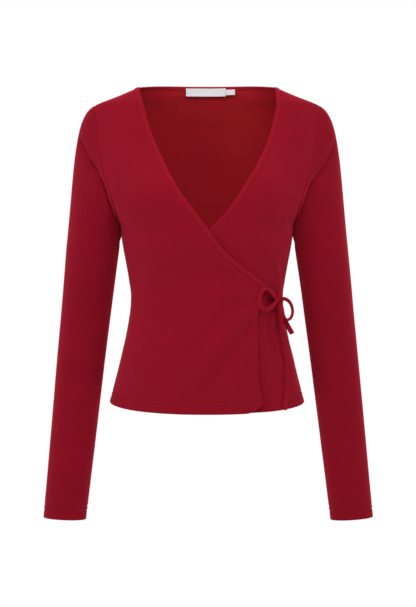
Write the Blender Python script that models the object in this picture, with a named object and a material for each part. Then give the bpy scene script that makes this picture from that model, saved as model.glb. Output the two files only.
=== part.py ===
"""A fitted long-sleeved jersey wrap top, hollow and open, as it stands round a general figure.

Frame: metres, +Z up, the front faces -Y and the wearer's left is +X. The origin is in the middle of the neck, level
with the high points of the shoulders. All sizes below are millimetres, and the meshes are made in metres.

The cloth is one layer, drawn as walls on one torso surface. That surface is a rounded oval at each height, whose
half width is the side seam below the arms and the shoulder line above them. The right front laps over the left one.
"""

import math

import bmesh
import bpy
import numpy as np

MM = 0.001
FRONT, BACK = -1, 1
RIGHT, LEFT = -1, 1  # the wearer's sides, along X


def table(columns, rows):
    """Rows of numbers as one array for each named column."""
    return dict(zip(columns.split(), np.array(rows, float).T))


# ---------------------------------------------------------------- driving sizes, mm
CLOTH = 1.2
SEAM_GAP = 0.3
ARMHOLE_GAP = 0.21  # how far each side of the armhole seam keeps from it
RIDGE_STEP = 1e-4  # keeps the side seams' points just off the edge of the oval
HEM_CLOTH = 2.0  # the turned-up edge
HEM_DEPTH = 15.0
HEM_Z = -486.0
HEM_DROP_FRONT = 14.0
HEM_RISE_BACK = 5.0
WAIST_Z = -324.0
NECKLINE_END_Z = -309.0
LAP_CORNER_Z = -317.0
UNDERARM_Z = -214.0
SHOULDER_X = 173.6
SHOULDER_Z = -29.5
NECK_X = 105.7
BACK_NECK_RISE = 7.5
BAND_WIDTH = 7.7
LAP_LIFT = 3.0  # how far the right front stands off the layer below it
LAP_RISE_ACROSS = 45.0  # the width over which it rises to that from its side seam
LAP_TOP_Z = -95.0  # where it begins to rise below the shoulder, and how far down it takes
LAP_RISE_DOWN = 80.0
HEM_DEPTH_OF_BODY = 106.0
FOLD_FADE_ABOVE_HEM = 30.0
CUFF_Z = -664.0
SLEEVE_TOP_Z = -250.0

# The torso: its half width at the sides, its depth in front of and behind the side seams, and how square it is.
BODY = table(
    "z half_width front back square",
    [
        (-520, 160.5, 107, 106, 2.2),
        (-486, 150.5, 106, 103, 2.2),
        (-460, 143.6, 105, 99, 2.2),
        (-436, 137.4, 103, 95, 2.2),
        (-411, 131.4, 100, 90, 2.25),
        (-386, 125.7, 97, 85, 2.3),
        (-361, 121.2, 94, 80, 2.3),
        (-336, 118.0, 92, 76, 2.3),
        (-324, 117.7, 92, 75, 2.3),
        (-300, 120.7, 95, 77, 2.3),
        (-275, 125.0, 101, 82, 2.35),
        (-250, 129.6, 108, 87, 2.4),
        (-232, 132.4, 112, 90, 2.45),
        (-214, 134.2, 114, 92, 2.5),
        (-204, 140.0, 115, 93, 2.5),
        (-190, 151.0, 114, 94, 2.5),
        (-165, 170.0, 107, 94, 2.5),
        (-130, 184.0, 92, 93, 2.5),
        (-95, 190.0, 74, 88, 2.4),
        (-60, 185.5, 57, 79, 2.35),
        (SHOULDER_Z, SHOULDER_X, 42, 68, 2.3),
        (-15, 140.4, 34, 62, 2.3),
        (0, NECK_X, 26, 56, 2.3),
        (6, 91.3, 23, 54, 2.3),
        (15, 69.7, 20, 51, 2.3),
    ],
)

# The armhole seam: how far out it lies on the front and on the back.
ARMHOLE = table(
    "z front back",
    [
        (UNDERARM_Z, 134.2, 134.2),
        (-204, 135.6, 137.5),
        (-190, 139.0, 144.0),
        (-169, 144.5, 153.0),
        (-147, 151.5, 160.0),
        (-128, 157.5, 164.5),
        (-100, 163.5, 168.5),
        (-50, 169.5, 171.5),
        (SHOULDER_Z, SHOULDER_X, SHOULDER_X),
    ],
)

# The open edge of each front: how far it is towards the front's own side, at each height.
NECKLINE = {
    RIGHT: table(
        "z own_side",
        [
            (0, NECK_X),
            (-35, 96.4),
            (-74, 85.4),
            (-104, 72.9),
            (-135, 58.8),
            (-167, 41.6),
            (-197, 19.7),
            (-228, -3.8),
            (-258, -28.1),
            (-280, -53.5),
            (-290, -66.9),
            (NECKLINE_END_Z, -88.5),
        ],
    ),
    LEFT: table(
        "z own_side",
        [
            (0, NECK_X),
            (-28, 106.2),
            (-59, 100.5),
            (-95, 89.2),
            (-130, 73.2),
            (-165, 52.7),
            (-199, 28.9),
            (-226, 3.7),
            (-258, -26.0),
            (-280, -51.0),
            (-290, -64.0),
            (NECKLINE_END_Z, -86.0),
        ],
    ),
}

# The upright free edge of a front, below its lapped corner.
LAP_EDGE = table(
    "z own_side",
    [
        (LAP_CORNER_Z, -84.0),
        (-332, -80.0),
        (-347, -78.0),
        (-383, -76.0),
        (-446, -76.0),
        (-486, -81.5),
        (-502, -83.0),
    ],
)

# Fullness over the chest: the middle, spread and height of one rounded rise on each side.
CHEST = {"x": 88.0, "z": -178.0, "spread_x": 38.0, "spread_z": 40.0, "rise": 7.0}

# Soft folds of the right front, dragged from the tie down to the far side, from one end through a bend to the other.
FOLDS = table(
    "x0 z0 x1 z1 x2 z2 half_width rise",
    [
        (74, -352, 38, -398, -22, -474, 10, -3.0),
        (70, -340, 30, -378, -14, -440, 11, 2.6),
        (38, -338, 6, -372, -24, -410, 10, -2.4),
        (60, -318, 4, -322, -60, -352, 12, 1.8),
        (64, -300, 8, -292, -84, -300, 13, -1.8),
        (-50, -282, -84, -276, -112, -270, 12, -1.6),
    ],
)
# The layer below gives way wherever the right front has a trough, and more widely.
UNDER_FOLDS = {name: column[FOLDS["rise"] < 0] for name, column in FOLDS.items()}
UNDER_FOLDS["half_width"] = UNDER_FOLDS["half_width"] * 1.5

BACK_FOLDS = table(
    "x0 z0 x1 z1 x2 z2 half_width rise",
    [
        (-104, -330, -40, -352, 20, -392, 13, -2.2),
        (104, -322, 46, -342, -6, -368, 13, -2.2),
        (-98, -296, -30, -304, 40, -298, 14, -1.8),
        (96, -180, 60, -214, 44, -262, 14, -2.0),
        (-96, -180, -60, -214, -44, -262, 14, -2.0),
    ],
)

# The sleeve below the cap: the middle of the tube, its half width and its half depth.
SLEEVE = table(
    "z middle_x middle_y half_width half_depth",
    [
        (-250, 176.9, 1, 41.1, 43.0),
        (-324, 184.6, 1, 39.2, 38.5),
        (-411, 194.0, -5, 37.4, 34.0),
        (-498, 203.4, -13, 35.8, 31.0),
        (-585, 212.7, -21, 34.2, 28.5),
        (-664, 221.3, -28, 32.7, 26.5),
    ],
)

# How much further out than that each sleeve hangs.
SWING = table(
    "z right left",
    [(-250, 0.0, 0.4), (-324, 0.0, 1.5), (-411, -0.4, 1.5), (-498, -1.6, 1.2), (-585, -2.6, 0.8), (-664, -3.4, 0.4)],
)

# The cap breaks over the hanging sleeve along this line, from the outer edge in to the underarm.
CAP_BREAK = table(
    "x0 z0 x1 z1 x2 z2 half_width rise",
    [
        (200, -79, 178, -116, 160, -144, 12, -5.0),
        (160, -144, 150, -174, 138, -214, 11, -4.5),
        (194, -118, 176, -144, 158, -190, 13, 2.2),
    ],
)

# ---------------------------------------------------------------- mesh density
COLUMNS = {RIGHT: 24, LEFT: 15}
BACK_SHOULDER_COLUMNS = 4
BACK_NECK_COLUMNS = 7
ROWS_BELOW_CORNER = 12
ROWS_BELOW_ARM = 7
ROWS_OF_ARMHOLE = 11
CAP_RINGS = 8
SLEEVE_RINGS = 12
SAMPLES = 241


# ---------------------------------------------------------------- curves and surfaces
def smooth(xs, ys, x):
    """The smooth curve through the points (xs, ys), read at x. It never overshoots a point."""
    order = np.argsort(xs)
    xs, ys = xs[order], ys[order]
    steps = np.diff(xs)
    slopes = np.diff(ys) / steps
    tangents = np.zeros(len(xs))
    tangents[0], tangents[-1] = slopes[0], slopes[-1]
    same = slopes[:-1] * slopes[1:] > 0
    before = 2 * steps[1:] + steps[:-1]
    after = steps[1:] + 2 * steps[:-1]
    safe = np.where(same, slopes[:-1] * slopes[1:], 1.0)
    harmonic = (before + after) * safe / np.where(same, before * slopes[1:] + after * slopes[:-1], 1.0)
    tangents[1:-1] = np.where(same, harmonic, 0.0)
    x = np.clip(x, xs[0], xs[-1])
    k = np.clip(np.searchsorted(xs, x) - 1, 0, len(steps) - 1)
    t = (x - xs[k]) / steps[k]
    return (
        (2 * t**3 - 3 * t**2 + 1) * ys[k]
        + (t**3 - 2 * t**2 + t) * steps[k] * tangents[k]
        + (3 * t**2 - 2 * t**3) * ys[k + 1]
        + (t**3 - t**2) * steps[k] * tangents[k + 1]
    )


def ease(value):
    """0 below 0, 1 above 1, and smooth between."""
    value = np.clip(value, 0.0, 1.0)
    return value * value * (3 - 2 * value)


def read(rows, column, z):
    return smooth(rows["z"], rows[column], z)


def unit(vectors):
    return vectors / np.linalg.norm(vectors, axis=-1, keepdims=True)


def fold_relief(rows, x, z):
    """The height that soft folds add at (x, z). Each fold is a rounded ridge or trough that fades at both ends."""
    height = np.zeros_like(x)
    steps = np.linspace(0, 1, 25)
    fade = np.sqrt(np.sin(np.pi * np.clip(steps, 0.02, 0.98)))
    for k in range(len(rows["x0"])):
        fold = {name: column[k] for name, column in rows.items()}
        line = [
            (1 - steps) ** 2 * fold[axis + "0"] + 2 * (1 - steps) * steps * fold[axis + "1"] + steps**2 * fold[axis + "2"]
            for axis in "xz"
        ]
        gaps = np.hypot(x[..., None] - line[0], z[..., None] - line[1])
        nearest = gaps.argmin(axis=-1)
        gap = gaps.min(axis=-1)
        height += fold["rise"] * fade[nearest] * np.exp(-((gap / fold["half_width"]) ** 2))
    return height


def torso_depth(x, z, face):
    """How far the bare surface lies from the side seams' plane, forwards or backwards."""
    share = np.minimum(np.abs(x) / read(BODY, "half_width", z), 1.0)
    depth = read(BODY, "front" if face == FRONT else "back", z)
    return face * depth * np.sqrt(1.0 - share ** read(BODY, "square", z))


def torso_normal(points, face):
    """Outward directions, from the slope of the oval's equation; true at the side and shoulder seams too."""

    def level(x, y, z):
        share = np.abs(x) / read(BODY, "half_width", z)
        depth = read(BODY, "front" if face == FRONT else "back", z)
        return share ** read(BODY, "square", z) + (y / depth) ** 2

    x, y, z = np.moveaxis(points, -1, 0)
    step = 0.05
    slope = [
        level(x + step, y, z) - level(x - step, y, z),
        level(x, y + step, z) - level(x, y - step, z),
        level(x, y, z + step) - level(x, y, z - step),
    ]
    return unit(np.stack(slope, axis=-1))


def torso_relief(x, z, face):
    """What fullness and folds add to the bare surface."""
    if face == BACK:
        return fold_relief(BACK_FOLDS, x, z)
    across = (np.abs(x) - CHEST["x"]) / CHEST["spread_x"]
    up = (z - CHEST["z"]) / CHEST["spread_z"]
    return CHEST["rise"] * np.exp(-(across**2) - up**2)


def lap_layer(x, z):
    """How far the right front stands off: nothing at its side seam or shoulder, all of it where it laps."""
    from_side = (x + read(BODY, "half_width", z)) / LAP_RISE_ACROSS
    from_shoulder = (LAP_TOP_Z - z) / LAP_RISE_DOWN
    return LAP_LIFT * ease(from_side) * ease(from_shoulder)


def torso(x, z, face, side=None):
    """Points of the cloth's outer side and their outward directions. The right front laps over the left one."""
    x, z = np.asarray(x, float), np.asarray(z, float)
    points = np.stack([x, torso_depth(x, z, face), z], axis=-1)
    normals = torso_normal(points, face)
    relief = torso_relief(x, z, face)
    if face == FRONT:
        folds = FOLDS if side == RIGHT else UNDER_FOLDS
        relief = relief + fold_relief(folds, x, z) * ease((z - HEM_Z) / FOLD_FADE_ABOVE_HEM)
    if side == RIGHT:
        relief = relief + lap_layer(x, z)
    points = points + normals * relief[..., None]
    lower = np.clip((WAIST_Z - z) / (WAIST_Z - HEM_Z), 0.0, 1.2) ** 2
    forward = -points[..., 1] / HEM_DEPTH_OF_BODY
    points[..., 2] -= np.where(forward > 0, HEM_DROP_FRONT, HEM_RISE_BACK) * forward * lower
    return points, normals


def neck_edges(side, offset):
    """The open edge of one front and the line `offset` inside its cloth, each as dense (x, z) pairs from the top."""
    z = NECKLINE_END_Z * np.linspace(0, 1, SAMPLES) ** 2
    x = side * read(NECKLINE[side], "own_side", z)
    points, normals = torso(x, z, FRONT)
    along = unit(np.gradient(points, axis=0))
    along[0] = (0, -1, 0)
    inside = points + side * offset * np.cross(normals, along)
    return np.stack([x, z], axis=-1), inside[:, [0, 2]]


def back_neck_edges(offset):
    """The same for the back neck, from the wearer's right shoulder to the left."""
    turn = np.linspace(-1, 1, SAMPLES) * math.pi / 2
    x = NECK_X * np.sin(turn)
    z = BACK_NECK_RISE * (1 - np.sin(turn) ** 4)
    points, normals = torso(x, z, BACK)
    along = unit(np.gradient(points, axis=0))
    along[0], along[-1] = (0, 1, 0), (0, -1, 0)
    inside = points + offset * np.cross(normals, along)
    return np.stack([x, z], axis=-1), inside[:, [0, 2]]


def even_spots(line, count, first, last):
    """`count` places at even steps along a dense line between two of its places, as fractional indices."""
    index = np.arange(len(line))
    lengths = np.concatenate([[0], np.cumsum(np.hypot(*np.diff(line, axis=0).T))])
    ends = np.interp([first, last], index, lengths)
    return np.interp(np.linspace(*ends, count), lengths, index)


def pick(line, spots):
    """The (x, z) pairs of a dense line at fractional indices."""
    index = np.arange(len(line))
    return np.stack([np.interp(spots, index, line[:, k]) for k in (0, 1)], axis=-1)


def torso_row(outer, inner, count, face, side=None):
    """Evenly spaced cloth points from `outer` to `inner`, two (x, z) pairs."""
    pull = 1 - np.cos(np.linspace(0, 1, SAMPLES) * math.pi / 2)
    line = outer + (np.asarray(inner) - outer) * pull[:, None]
    points, _ = torso(line[:, 0], line[:, 1], face, side)
    lengths = np.concatenate([[0], np.cumsum(np.linalg.norm(np.diff(points, axis=0), axis=1))])
    even = np.interp(np.linspace(0, lengths[-1], count), lengths, pull)
    line = outer + (np.asarray(inner) - outer) * even[:, None]
    return torso(line[:, 0], line[:, 1], face, side)


def shoulder_row(neck_end, count, face, side=LEFT):
    """The shoulder seam, on the ridge between front and back, from the armhole to the neck."""
    z = np.linspace(SHOULDER_Z + ARMHOLE_GAP, neck_end[1], count)
    x = side * (read(BODY, "half_width", z) - RIDGE_STEP)
    return torso(x, z, face, side if face == FRONT else None)


# ---------------------------------------------------------------- heights of the rows and the seams' ends
LOW_ROWS = np.concatenate(
    [
        [HEM_Z, HEM_Z + HEM_DEPTH],
        np.linspace(HEM_Z + HEM_DEPTH, LAP_CORNER_Z, ROWS_BELOW_CORNER)[1:],
        np.linspace(LAP_CORNER_Z, UNDERARM_Z, ROWS_BELOW_ARM + 1)[1:],
    ]
)
ARMHOLE_TURN = np.linspace(0, math.pi, ROWS_OF_ARMHOLE + 1)
ARMHOLE_ROWS = UNDERARM_Z + (SHOULDER_Z - UNDERARM_Z) * (1 - np.cos(ARMHOLE_TURN)) / 2


def armhole_x(z, face):
    return read(ARMHOLE, "front" if face == FRONT else "back", z)


# ---------------------------------------------------------------- objects
def material(name, colour, roughness, sheen=0.0):
    made = bpy.data.materials.new(name)
    made.use_nodes = True
    shader = made.node_tree.nodes["Principled BSDF"]
    shader.inputs["Base Color"].default_value = (*colour, 1)
    shader.inputs["Roughness"].default_value = roughness
    shader.inputs["Metallic"].default_value = 0.0
    shader.inputs["Sheen Weight"].default_value = sheen
    made.diffuse_color = (*colour, 1)
    return made


def add_object(name, points, faces, surface):
    mesh = bpy.data.meshes.new(name)
    mesh.from_pydata([tuple(p) for p in np.asarray(points) * MM], [], faces)
    outward = bmesh.new()
    outward.from_mesh(mesh)
    bmesh.ops.recalc_face_normals(outward, faces=outward.faces)
    outward.to_mesh(mesh)
    outward.free()
    mesh.shade_smooth()
    mesh.set_sharp_from_angle(angle=math.radians(50))
    mesh.materials.append(surface)
    made = bpy.data.objects.new(name, mesh)
    bpy.context.collection.objects.link(made)
    return made


def add_wall(name, outer, normals, thickness, surface, tube=False):
    """Cloth as a closed wall: a grid of outer points, the same points moved in, and rims. A tube joins round."""
    rows, columns = outer.shape[:2]
    inner = outer - normals * np.broadcast_to(thickness, (rows, columns))[..., None]
    points = np.concatenate([outer.reshape(-1, 3), inner.reshape(-1, 3)])
    shift = rows * columns

    def at(i, j, layer=0):
        return layer * shift + i * columns + j % columns

    across = range(columns if tube else columns - 1)
    faces = []
    for i in range(rows - 1):
        for j in across:
            faces.append((at(i, j), at(i, j + 1), at(i + 1, j + 1), at(i + 1, j)))
            faces.append((at(i, j, 1), at(i + 1, j, 1), at(i + 1, j + 1, 1), at(i, j + 1, 1)))
    for j in across:
        faces.append((at(0, j), at(0, j, 1), at(0, j + 1, 1), at(0, j + 1)))
        faces.append((at(rows - 1, j), at(rows - 1, j + 1), at(rows - 1, j + 1, 1), at(rows - 1, j, 1)))
    if not tube:
        for i in range(rows - 1):
            for j in (0, columns - 1):
                faces.append((at(i, j), at(i + 1, j), at(i + 1, j, 1), at(i, j, 1)))
    return add_object(name, points, faces, surface)


def hem_thickness(z, hem_z):
    return np.where(z < hem_z + HEM_DEPTH - 1, HEM_CLOTH, CLOTH)


def front_spots(side):
    """Where the rows of a front meet its neck seam, from the lapped corner up to the shoulder seam."""
    _, seam = neck_edges(side, BAND_WIDTH + SEAM_GAP)
    levels = LOW_ROWS[LOW_ROWS > LAP_CORNER_Z - 1]
    level_spots = np.interp(-levels, -seam[:, 1], np.arange(len(seam)))
    return np.concatenate([level_spots, even_spots(seam, ROWS_OF_ARMHOLE + 1, level_spots[-1], 0)[1:]])


def add_front(name, side, surface):
    """One front: rows from the hem up, columns from the side seam and armhole in to the lapped edge."""
    _, seam = neck_edges(side, BAND_WIDTH + SEAM_GAP)
    free_rows = LOW_ROWS[LOW_ROWS < LAP_CORNER_Z - 1]
    free_ends = [(side * read(LAP_EDGE, "own_side", z), z) for z in free_rows]
    inner_ends = np.concatenate([free_ends, pick(seam, front_spots(side))])
    outer_ends = [(side * (read(BODY, "half_width", z) - RIDGE_STEP), z) for z in LOW_ROWS]
    outer_ends += [(side * (armhole_x(z, FRONT) - ARMHOLE_GAP), z) for z in ARMHOLE_ROWS[1:]]
    rows = [torso_row(outer, inner, COLUMNS[side], FRONT, side) for outer, inner in zip(outer_ends, inner_ends)]
    rows[-1] = shoulder_row(inner_ends[-1], COLUMNS[side], FRONT, side)
    grid, normals = (np.array(part) for part in zip(*rows))
    grid[..., 1] -= SEAM_GAP / 2
    thickness = hem_thickness(np.array(outer_ends)[:, 1], HEM_Z)
    return add_wall(name, grid, normals, thickness[:, None], surface)


def back_neck_spots():
    """Where the columns of the back meet the neck seam, from the wearer's left shoulder to the middle."""
    _, seam = back_neck_edges(BAND_WIDTH + SEAM_GAP)
    return even_spots(seam, BACK_NECK_COLUMNS + 1, len(seam) - 1, (len(seam) - 1) / 2)


def add_back(name, surface):
    """The back: rows from the hem up, whose top one is the shoulder seams and the neck. Its halves mirror."""
    _, seam = back_neck_edges(BAND_WIDTH + SEAM_GAP)
    neck_line = pick(seam, back_neck_spots())
    count = BACK_SHOULDER_COLUMNS + BACK_NECK_COLUMNS + 1
    middle_rows = np.linspace(UNDERARM_Z, neck_line[-1, 1], ROWS_OF_ARMHOLE + 1)
    outer_ends = [(read(BODY, "half_width", z) - RIDGE_STEP, z) for z in LOW_ROWS]
    outer_ends += [(armhole_x(z, BACK) - ARMHOLE_GAP, z) for z in ARMHOLE_ROWS[1:]]
    inner_ends = [(0.0, z) for z in [*LOW_ROWS, *middle_rows[1:]]]
    rows = [torso_row(outer, inner, count, BACK) for outer, inner in zip(outer_ends[:-1], inner_ends[:-1])]
    shoulder = shoulder_row(neck_line[0], BACK_SHOULDER_COLUMNS + 1, BACK)
    neck = torso(neck_line[1:, 0], neck_line[1:, 1], BACK)
    rows.append([np.concatenate(parts) for parts in zip(shoulder, neck)])
    half_grid, half_normals = (np.array(part) for part in zip(*rows))
    mirror = np.array([-1.0, 1.0, 1.0])
    grid = np.concatenate([half_grid, half_grid[:, -2::-1] * mirror], axis=1)
    normals = np.concatenate([half_normals, half_normals[:, -2::-1] * mirror], axis=1)
    grid[..., 1] += SEAM_GAP / 2
    thickness = hem_thickness(np.array(outer_ends)[:, 1], HEM_Z)
    return add_wall(name, grid, normals, thickness[:, None], surface)


def armhole_loop(side):
    """The sleeve's end of the armhole seam, from the underarm up the front, over the shoulder and down the back."""
    loop = []
    for face, rows in ((FRONT, ARMHOLE_ROWS), (BACK, ARMHOLE_ROWS[-2:0:-1])):
        x = armhole_x(rows, face)
        points, _ = torso(side * x, rows, face)
        loop.append(points)
    loop = np.concatenate(loop)
    loop[:, 0] += side * ARMHOLE_GAP
    return loop


def sleeve_ring(side, z, count):
    """One level ring of the sleeve, from its inner side to the front, the outside and the back."""
    turn = np.linspace(0, 2 * math.pi, count, endpoint=False)
    size = {name: read(SLEEVE, name, z) for name in SLEEVE if name != "z"}
    swing = read(SWING, "right" if side == RIGHT else "left", z)
    x = size["middle_x"] + swing - size["half_width"] * np.cos(turn)
    y = size["middle_y"] - size["half_depth"] * np.sin(turn)
    return np.stack([side * x, y, np.full(count, z)], axis=-1)


def grid_normals(grid):
    """Directions out of a tube's grid of rings."""
    round_way = np.roll(grid, -1, axis=1) - np.roll(grid, 1, axis=1)
    down = np.gradient(grid, axis=0)
    outward = unit(np.cross(round_way, down))
    middle = grid.mean(axis=1, keepdims=True)
    return outward * np.sign(np.sum(outward * (grid - middle)))


def sleeve_grid(side):
    """Rings from the armhole over the cap to the level top ring, then down to the cuff."""
    start = armhole_loop(side)
    count = len(start)
    end = sleeve_ring(side, SLEEVE_TOP_Z, count)
    turn = np.linspace(0, 2 * math.pi, count, endpoint=False)
    top = ((1 - np.cos(turn)) / 2)[:, None]
    leave = (1 - top) * (side * 1.0, 0, -30) + top * (side * 99.0, 0, -41)
    arrive = (1 - top) * (side * 3.0, 0, -36) + top * (side * 39.0, 0, -374)
    rings = []
    for t in np.linspace(0, 1, CAP_RINGS + 1) ** 1.25:
        rings.append(
            (2 * t**3 - 3 * t**2 + 1) * start
            + (t**3 - 2 * t**2 + t) * leave
            + (3 * t**2 - 2 * t**3) * end
            + (t**3 - t**2) * arrive
        )
    levels = np.linspace(SLEEVE_TOP_Z, CUFF_Z + HEM_DEPTH, SLEEVE_RINGS)[1:]
    for z in [*levels, CUFF_Z]:
        rings.append(sleeve_ring(side, z, count))
    grid = np.array(rings)
    normals = grid_normals(grid)
    in_front_or_behind = np.abs(normals[..., 1]) ** 0.5
    from_seam = ease(np.arange(len(rings)) / 2.0)[:, None]
    relief = fold_relief(CAP_BREAK, np.abs(grid[..., 0]), grid[..., 2])
    grid = grid + normals * (relief * in_front_or_behind * from_seam)[..., None]
    return grid, normals


def add_sleeve(name, side, surface):
    grid, normals = sleeve_grid(side)
    thickness = hem_thickness(grid[..., 2], CUFF_Z)
    return add_wall(name, grid, normals, thickness, surface, tube=True)


# The band's section: how far across it, and how far out of the cloth's outer side.
BAND_SECTION = table(
    "across out",
    [(0.0, 0.25), (0.65, 0.4), (1.0, -0.1), (1.0, -1.1), (0.65, -1.6), (0.0, -1.45)],
)


def band_rails():
    """The seam line and open edge of the neck band with their outward directions, from corner to corner."""
    left_half = back_neck_spots()
    middle = left_half[-1]
    right_half = 2 * middle - left_half
    stretches = [
        (*neck_edges(RIGHT, BAND_WIDTH), front_spots(RIGHT), FRONT, RIGHT),
        (*back_neck_edges(BAND_WIDTH), np.concatenate([right_half[1:], left_half[-2:0:-1]]), BACK, None),
        (*neck_edges(LEFT, BAND_WIDTH), front_spots(LEFT)[::-1], FRONT, LEFT),
    ]
    rails = []
    for edge, seam, spots, face, side in stretches:
        lines = [pick(line, spots) for line in (seam, edge)]
        rails.append([part for line in lines for part in torso(line[:, 0], line[:, 1], face, side)])
    return [np.concatenate(parts) for parts in zip(*rails)]


def add_band(name, surface):
    seam, seam_out, edge, edge_out = band_rails()
    section = []
    for across, out in zip(BAND_SECTION["across"], BAND_SECTION["out"]):
        spine = seam * (1 - across) + edge * across
        outward = unit(seam_out * (1 - across) + edge_out * across)
        section.append(spine + outward * out)
    grid = np.stack(section, axis=1)
    steps, corners = grid.shape[:2]
    faces = []
    for i in range(steps - 1):
        for j in range(corners):
            k = (j + 1) % corners
            faces.append((i * corners + j, i * corners + k, (i + 1) * corners + k, (i + 1) * corners + j))
    faces.append(tuple(range(corners)))
    faces.append(tuple((steps - 1) * corners + j for j in range(corners))[::-1])
    return add_object(name, grid.reshape(-1, 3), faces, surface)


# ---------------------------------------------------------------- tags
# Woven tags, flat behind and in front. The main one rises over the end of the size tab that is tucked behind it.
TAG_CLOTH = 0.5
OFF_BACK = 2.2  # from the cloth's outer side to the back of a tag: the band's inner side and a seam's gap
LABEL = {"left": -33.0, "right": 29.5, "top": 4.2, "bottom": -8.2, "end_rise": TAG_CLOTH + SEAM_GAP + 0.05}
SIZE_TAB = {"left": 25.5, "right": 44.0, "top": 2.4, "bottom": -6.0, "end_rise": 0.0}


def add_label(name, size, surface, columns):
    """A tag on the inside of the back neck, following its curve and hanging straight down."""
    x = np.linspace(size["left"], size["right"], columns)
    points, _ = torso(x, np.full(columns, size["top"]), BACK)
    near_tab = ease((x - SIZE_TAB["left"] + 12.0) / 8.0)
    points[:, 1] -= OFF_BACK + TAG_CLOTH + size["end_rise"] * near_tab
    bottom = points.copy()
    bottom[:, 2] = size["bottom"]
    forward = np.tile([0.0, -1.0, 0.0], (2, columns, 1))
    return add_wall(name, np.array([bottom, points]), forward, TAG_CLOTH, surface)


# ---------------------------------------------------------------- the bow
TIE_RADIUS = 1.9
KNOT = {"x": 108.4, "y": -50.5, "z": -328.5, "half_width": 4.8, "half_depth": 5.2, "half_height": 7.8}

TIE_ROUTES = {
    "front_strap": [(89.2, -68.5, -312.5), (96.2, -62.2, -317.0), (104.2, -54.4, -323.4)],
    "side_strap": [
        (119.9, -5.0, -324.6),
        (119.1, -14.0, -325.0),
        (117.2, -24.0, -326.0),
        (114.6, -34.0, -327.4),
        (111.0, -45.8, -328.3),
    ],
    "loop_front": [
        (104.3, -55.9, -328.2),
        (98.0, -65.9, -318.6),
        (90.0, -72.4, -313.4),
        (82.0, -77.2, -317.6),
        (78.4, -79.4, -329.0),
        (81.4, -78.0, -341.5),
        (89.0, -73.4, -345.0),
        (97.0, -65.6, -341.0),
        (104.4, -56.3, -333.6),
    ],
    "loop_side": [
        (112.9, -53.0, -328.0),
        (119.5, -54.6, -329.0),
        (125.8, -55.0, -334.2),
        (129.0, -55.0, -343.6),
        (129.2, -55.0, -354.0),
        (124.4, -55.0, -360.0),
        (118.6, -54.6, -357.6),
        (115.8, -53.6, -349.5),
        (112.1, -51.9, -335.9),
    ],
    "tail_long": [
        (108.8, -54.7, -336.0),
        (111.0, -58.4, -347.0),
        (112.6, -59.4, -364.0),
        (115.0, -58.6, -390.0),
        (118.6, -59.2, -418.0),
        (120.4, -62.0, -444.0),
        (119.0, -67.6, -470.0),
        (116.6, -74.6, -496.0),
    ],
    "tail_short": [
        (109.2, -48.7, -336.9),
        (112.6, -47.8, -347.0),
        (117.4, -47.2, -359.0),
        (123.4, -48.0, -370.6),
        (128.4, -49.0, -379.4),
    ],
}


def route_points(route, spacing):
    """Points on the smooth curve through a route, about `spacing` apart."""
    route = np.array(route, float)
    marks = np.concatenate([[0], np.cumsum(np.linalg.norm(np.diff(route, axis=0), axis=1))])
    count = max(4, round(marks[-1] / spacing) + 1)
    before, after = 2 * route[0] - route[1], 2 * route[-1] - route[-2]
    padded = np.vstack([before, route, after])
    spots = np.linspace(0, len(route) - 1, 40 * len(route))
    k = np.minimum(spots.astype(int), len(route) - 2)
    t = (spots - k)[:, None]
    a, b, c, d = padded[k], padded[k + 1], padded[k + 2], padded[k + 3]
    curve = 0.5 * (2 * b + (c - a) * t + (2 * a - 5 * b + 4 * c - d) * t**2 + (3 * b - a - 3 * c + d) * t**3)
    lengths = np.concatenate([[0], np.cumsum(np.linalg.norm(np.diff(curve, axis=0), axis=1))])
    wanted = np.linspace(0, lengths[-1], count)
    return np.stack([np.interp(wanted, lengths, curve[:, axis]) for axis in range(3)], axis=-1)


def add_tie(name, surface):
    points = route_points(TIE_ROUTES[name], 2.4 * TIE_RADIUS)
    curve = bpy.data.curves.new(name, "CURVE")
    curve.dimensions = "3D"
    curve.bevel_depth = TIE_RADIUS * MM
    curve.bevel_resolution = 2
    curve.use_fill_caps = True
    spline = curve.splines.new("POLY")
    spline.points.add(len(points) - 1)
    for spot, point in zip(spline.points, points * MM):
        spot.co = (*point, 1)
    curve.materials.append(surface)
    made = bpy.data.objects.new(name, curve)
    bpy.context.collection.objects.link(made)
    return made


def add_knot(name, surface, rings=9, sides=12):
    """The tight wrap in the middle of the bow: an upright bead with a slanting groove between its two turns."""
    points, faces = [], []
    for i in range(1, rings):
        down = math.pi * i / rings
        for j in range(sides):
            turn = 2 * math.pi * j / sides
            groove = 0.16 * math.exp(-(((math.cos(down) - 0.35 * math.cos(turn)) / 0.22) ** 2))
            wide = math.sin(down) ** 0.6 * (1 - groove)
            points.append(
                (
                    KNOT["x"] + KNOT["half_width"] * wide * math.cos(turn),
                    KNOT["y"] + KNOT["half_depth"] * wide * math.sin(turn),
                    KNOT["z"] + KNOT["half_height"] * math.cos(down),
                )
            )
    for i in range(rings - 2):
        for j in range(sides):
            k = (j + 1) % sides
            faces.append((i * sides + j, i * sides + k, (i + 1) * sides + k, (i + 1) * sides + j))
    faces.append(tuple(range(sides)))
    faces.append(tuple((rings - 2) * sides + j for j in range(sides))[::-1])
    return add_object(name, points, faces, surface)


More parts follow.
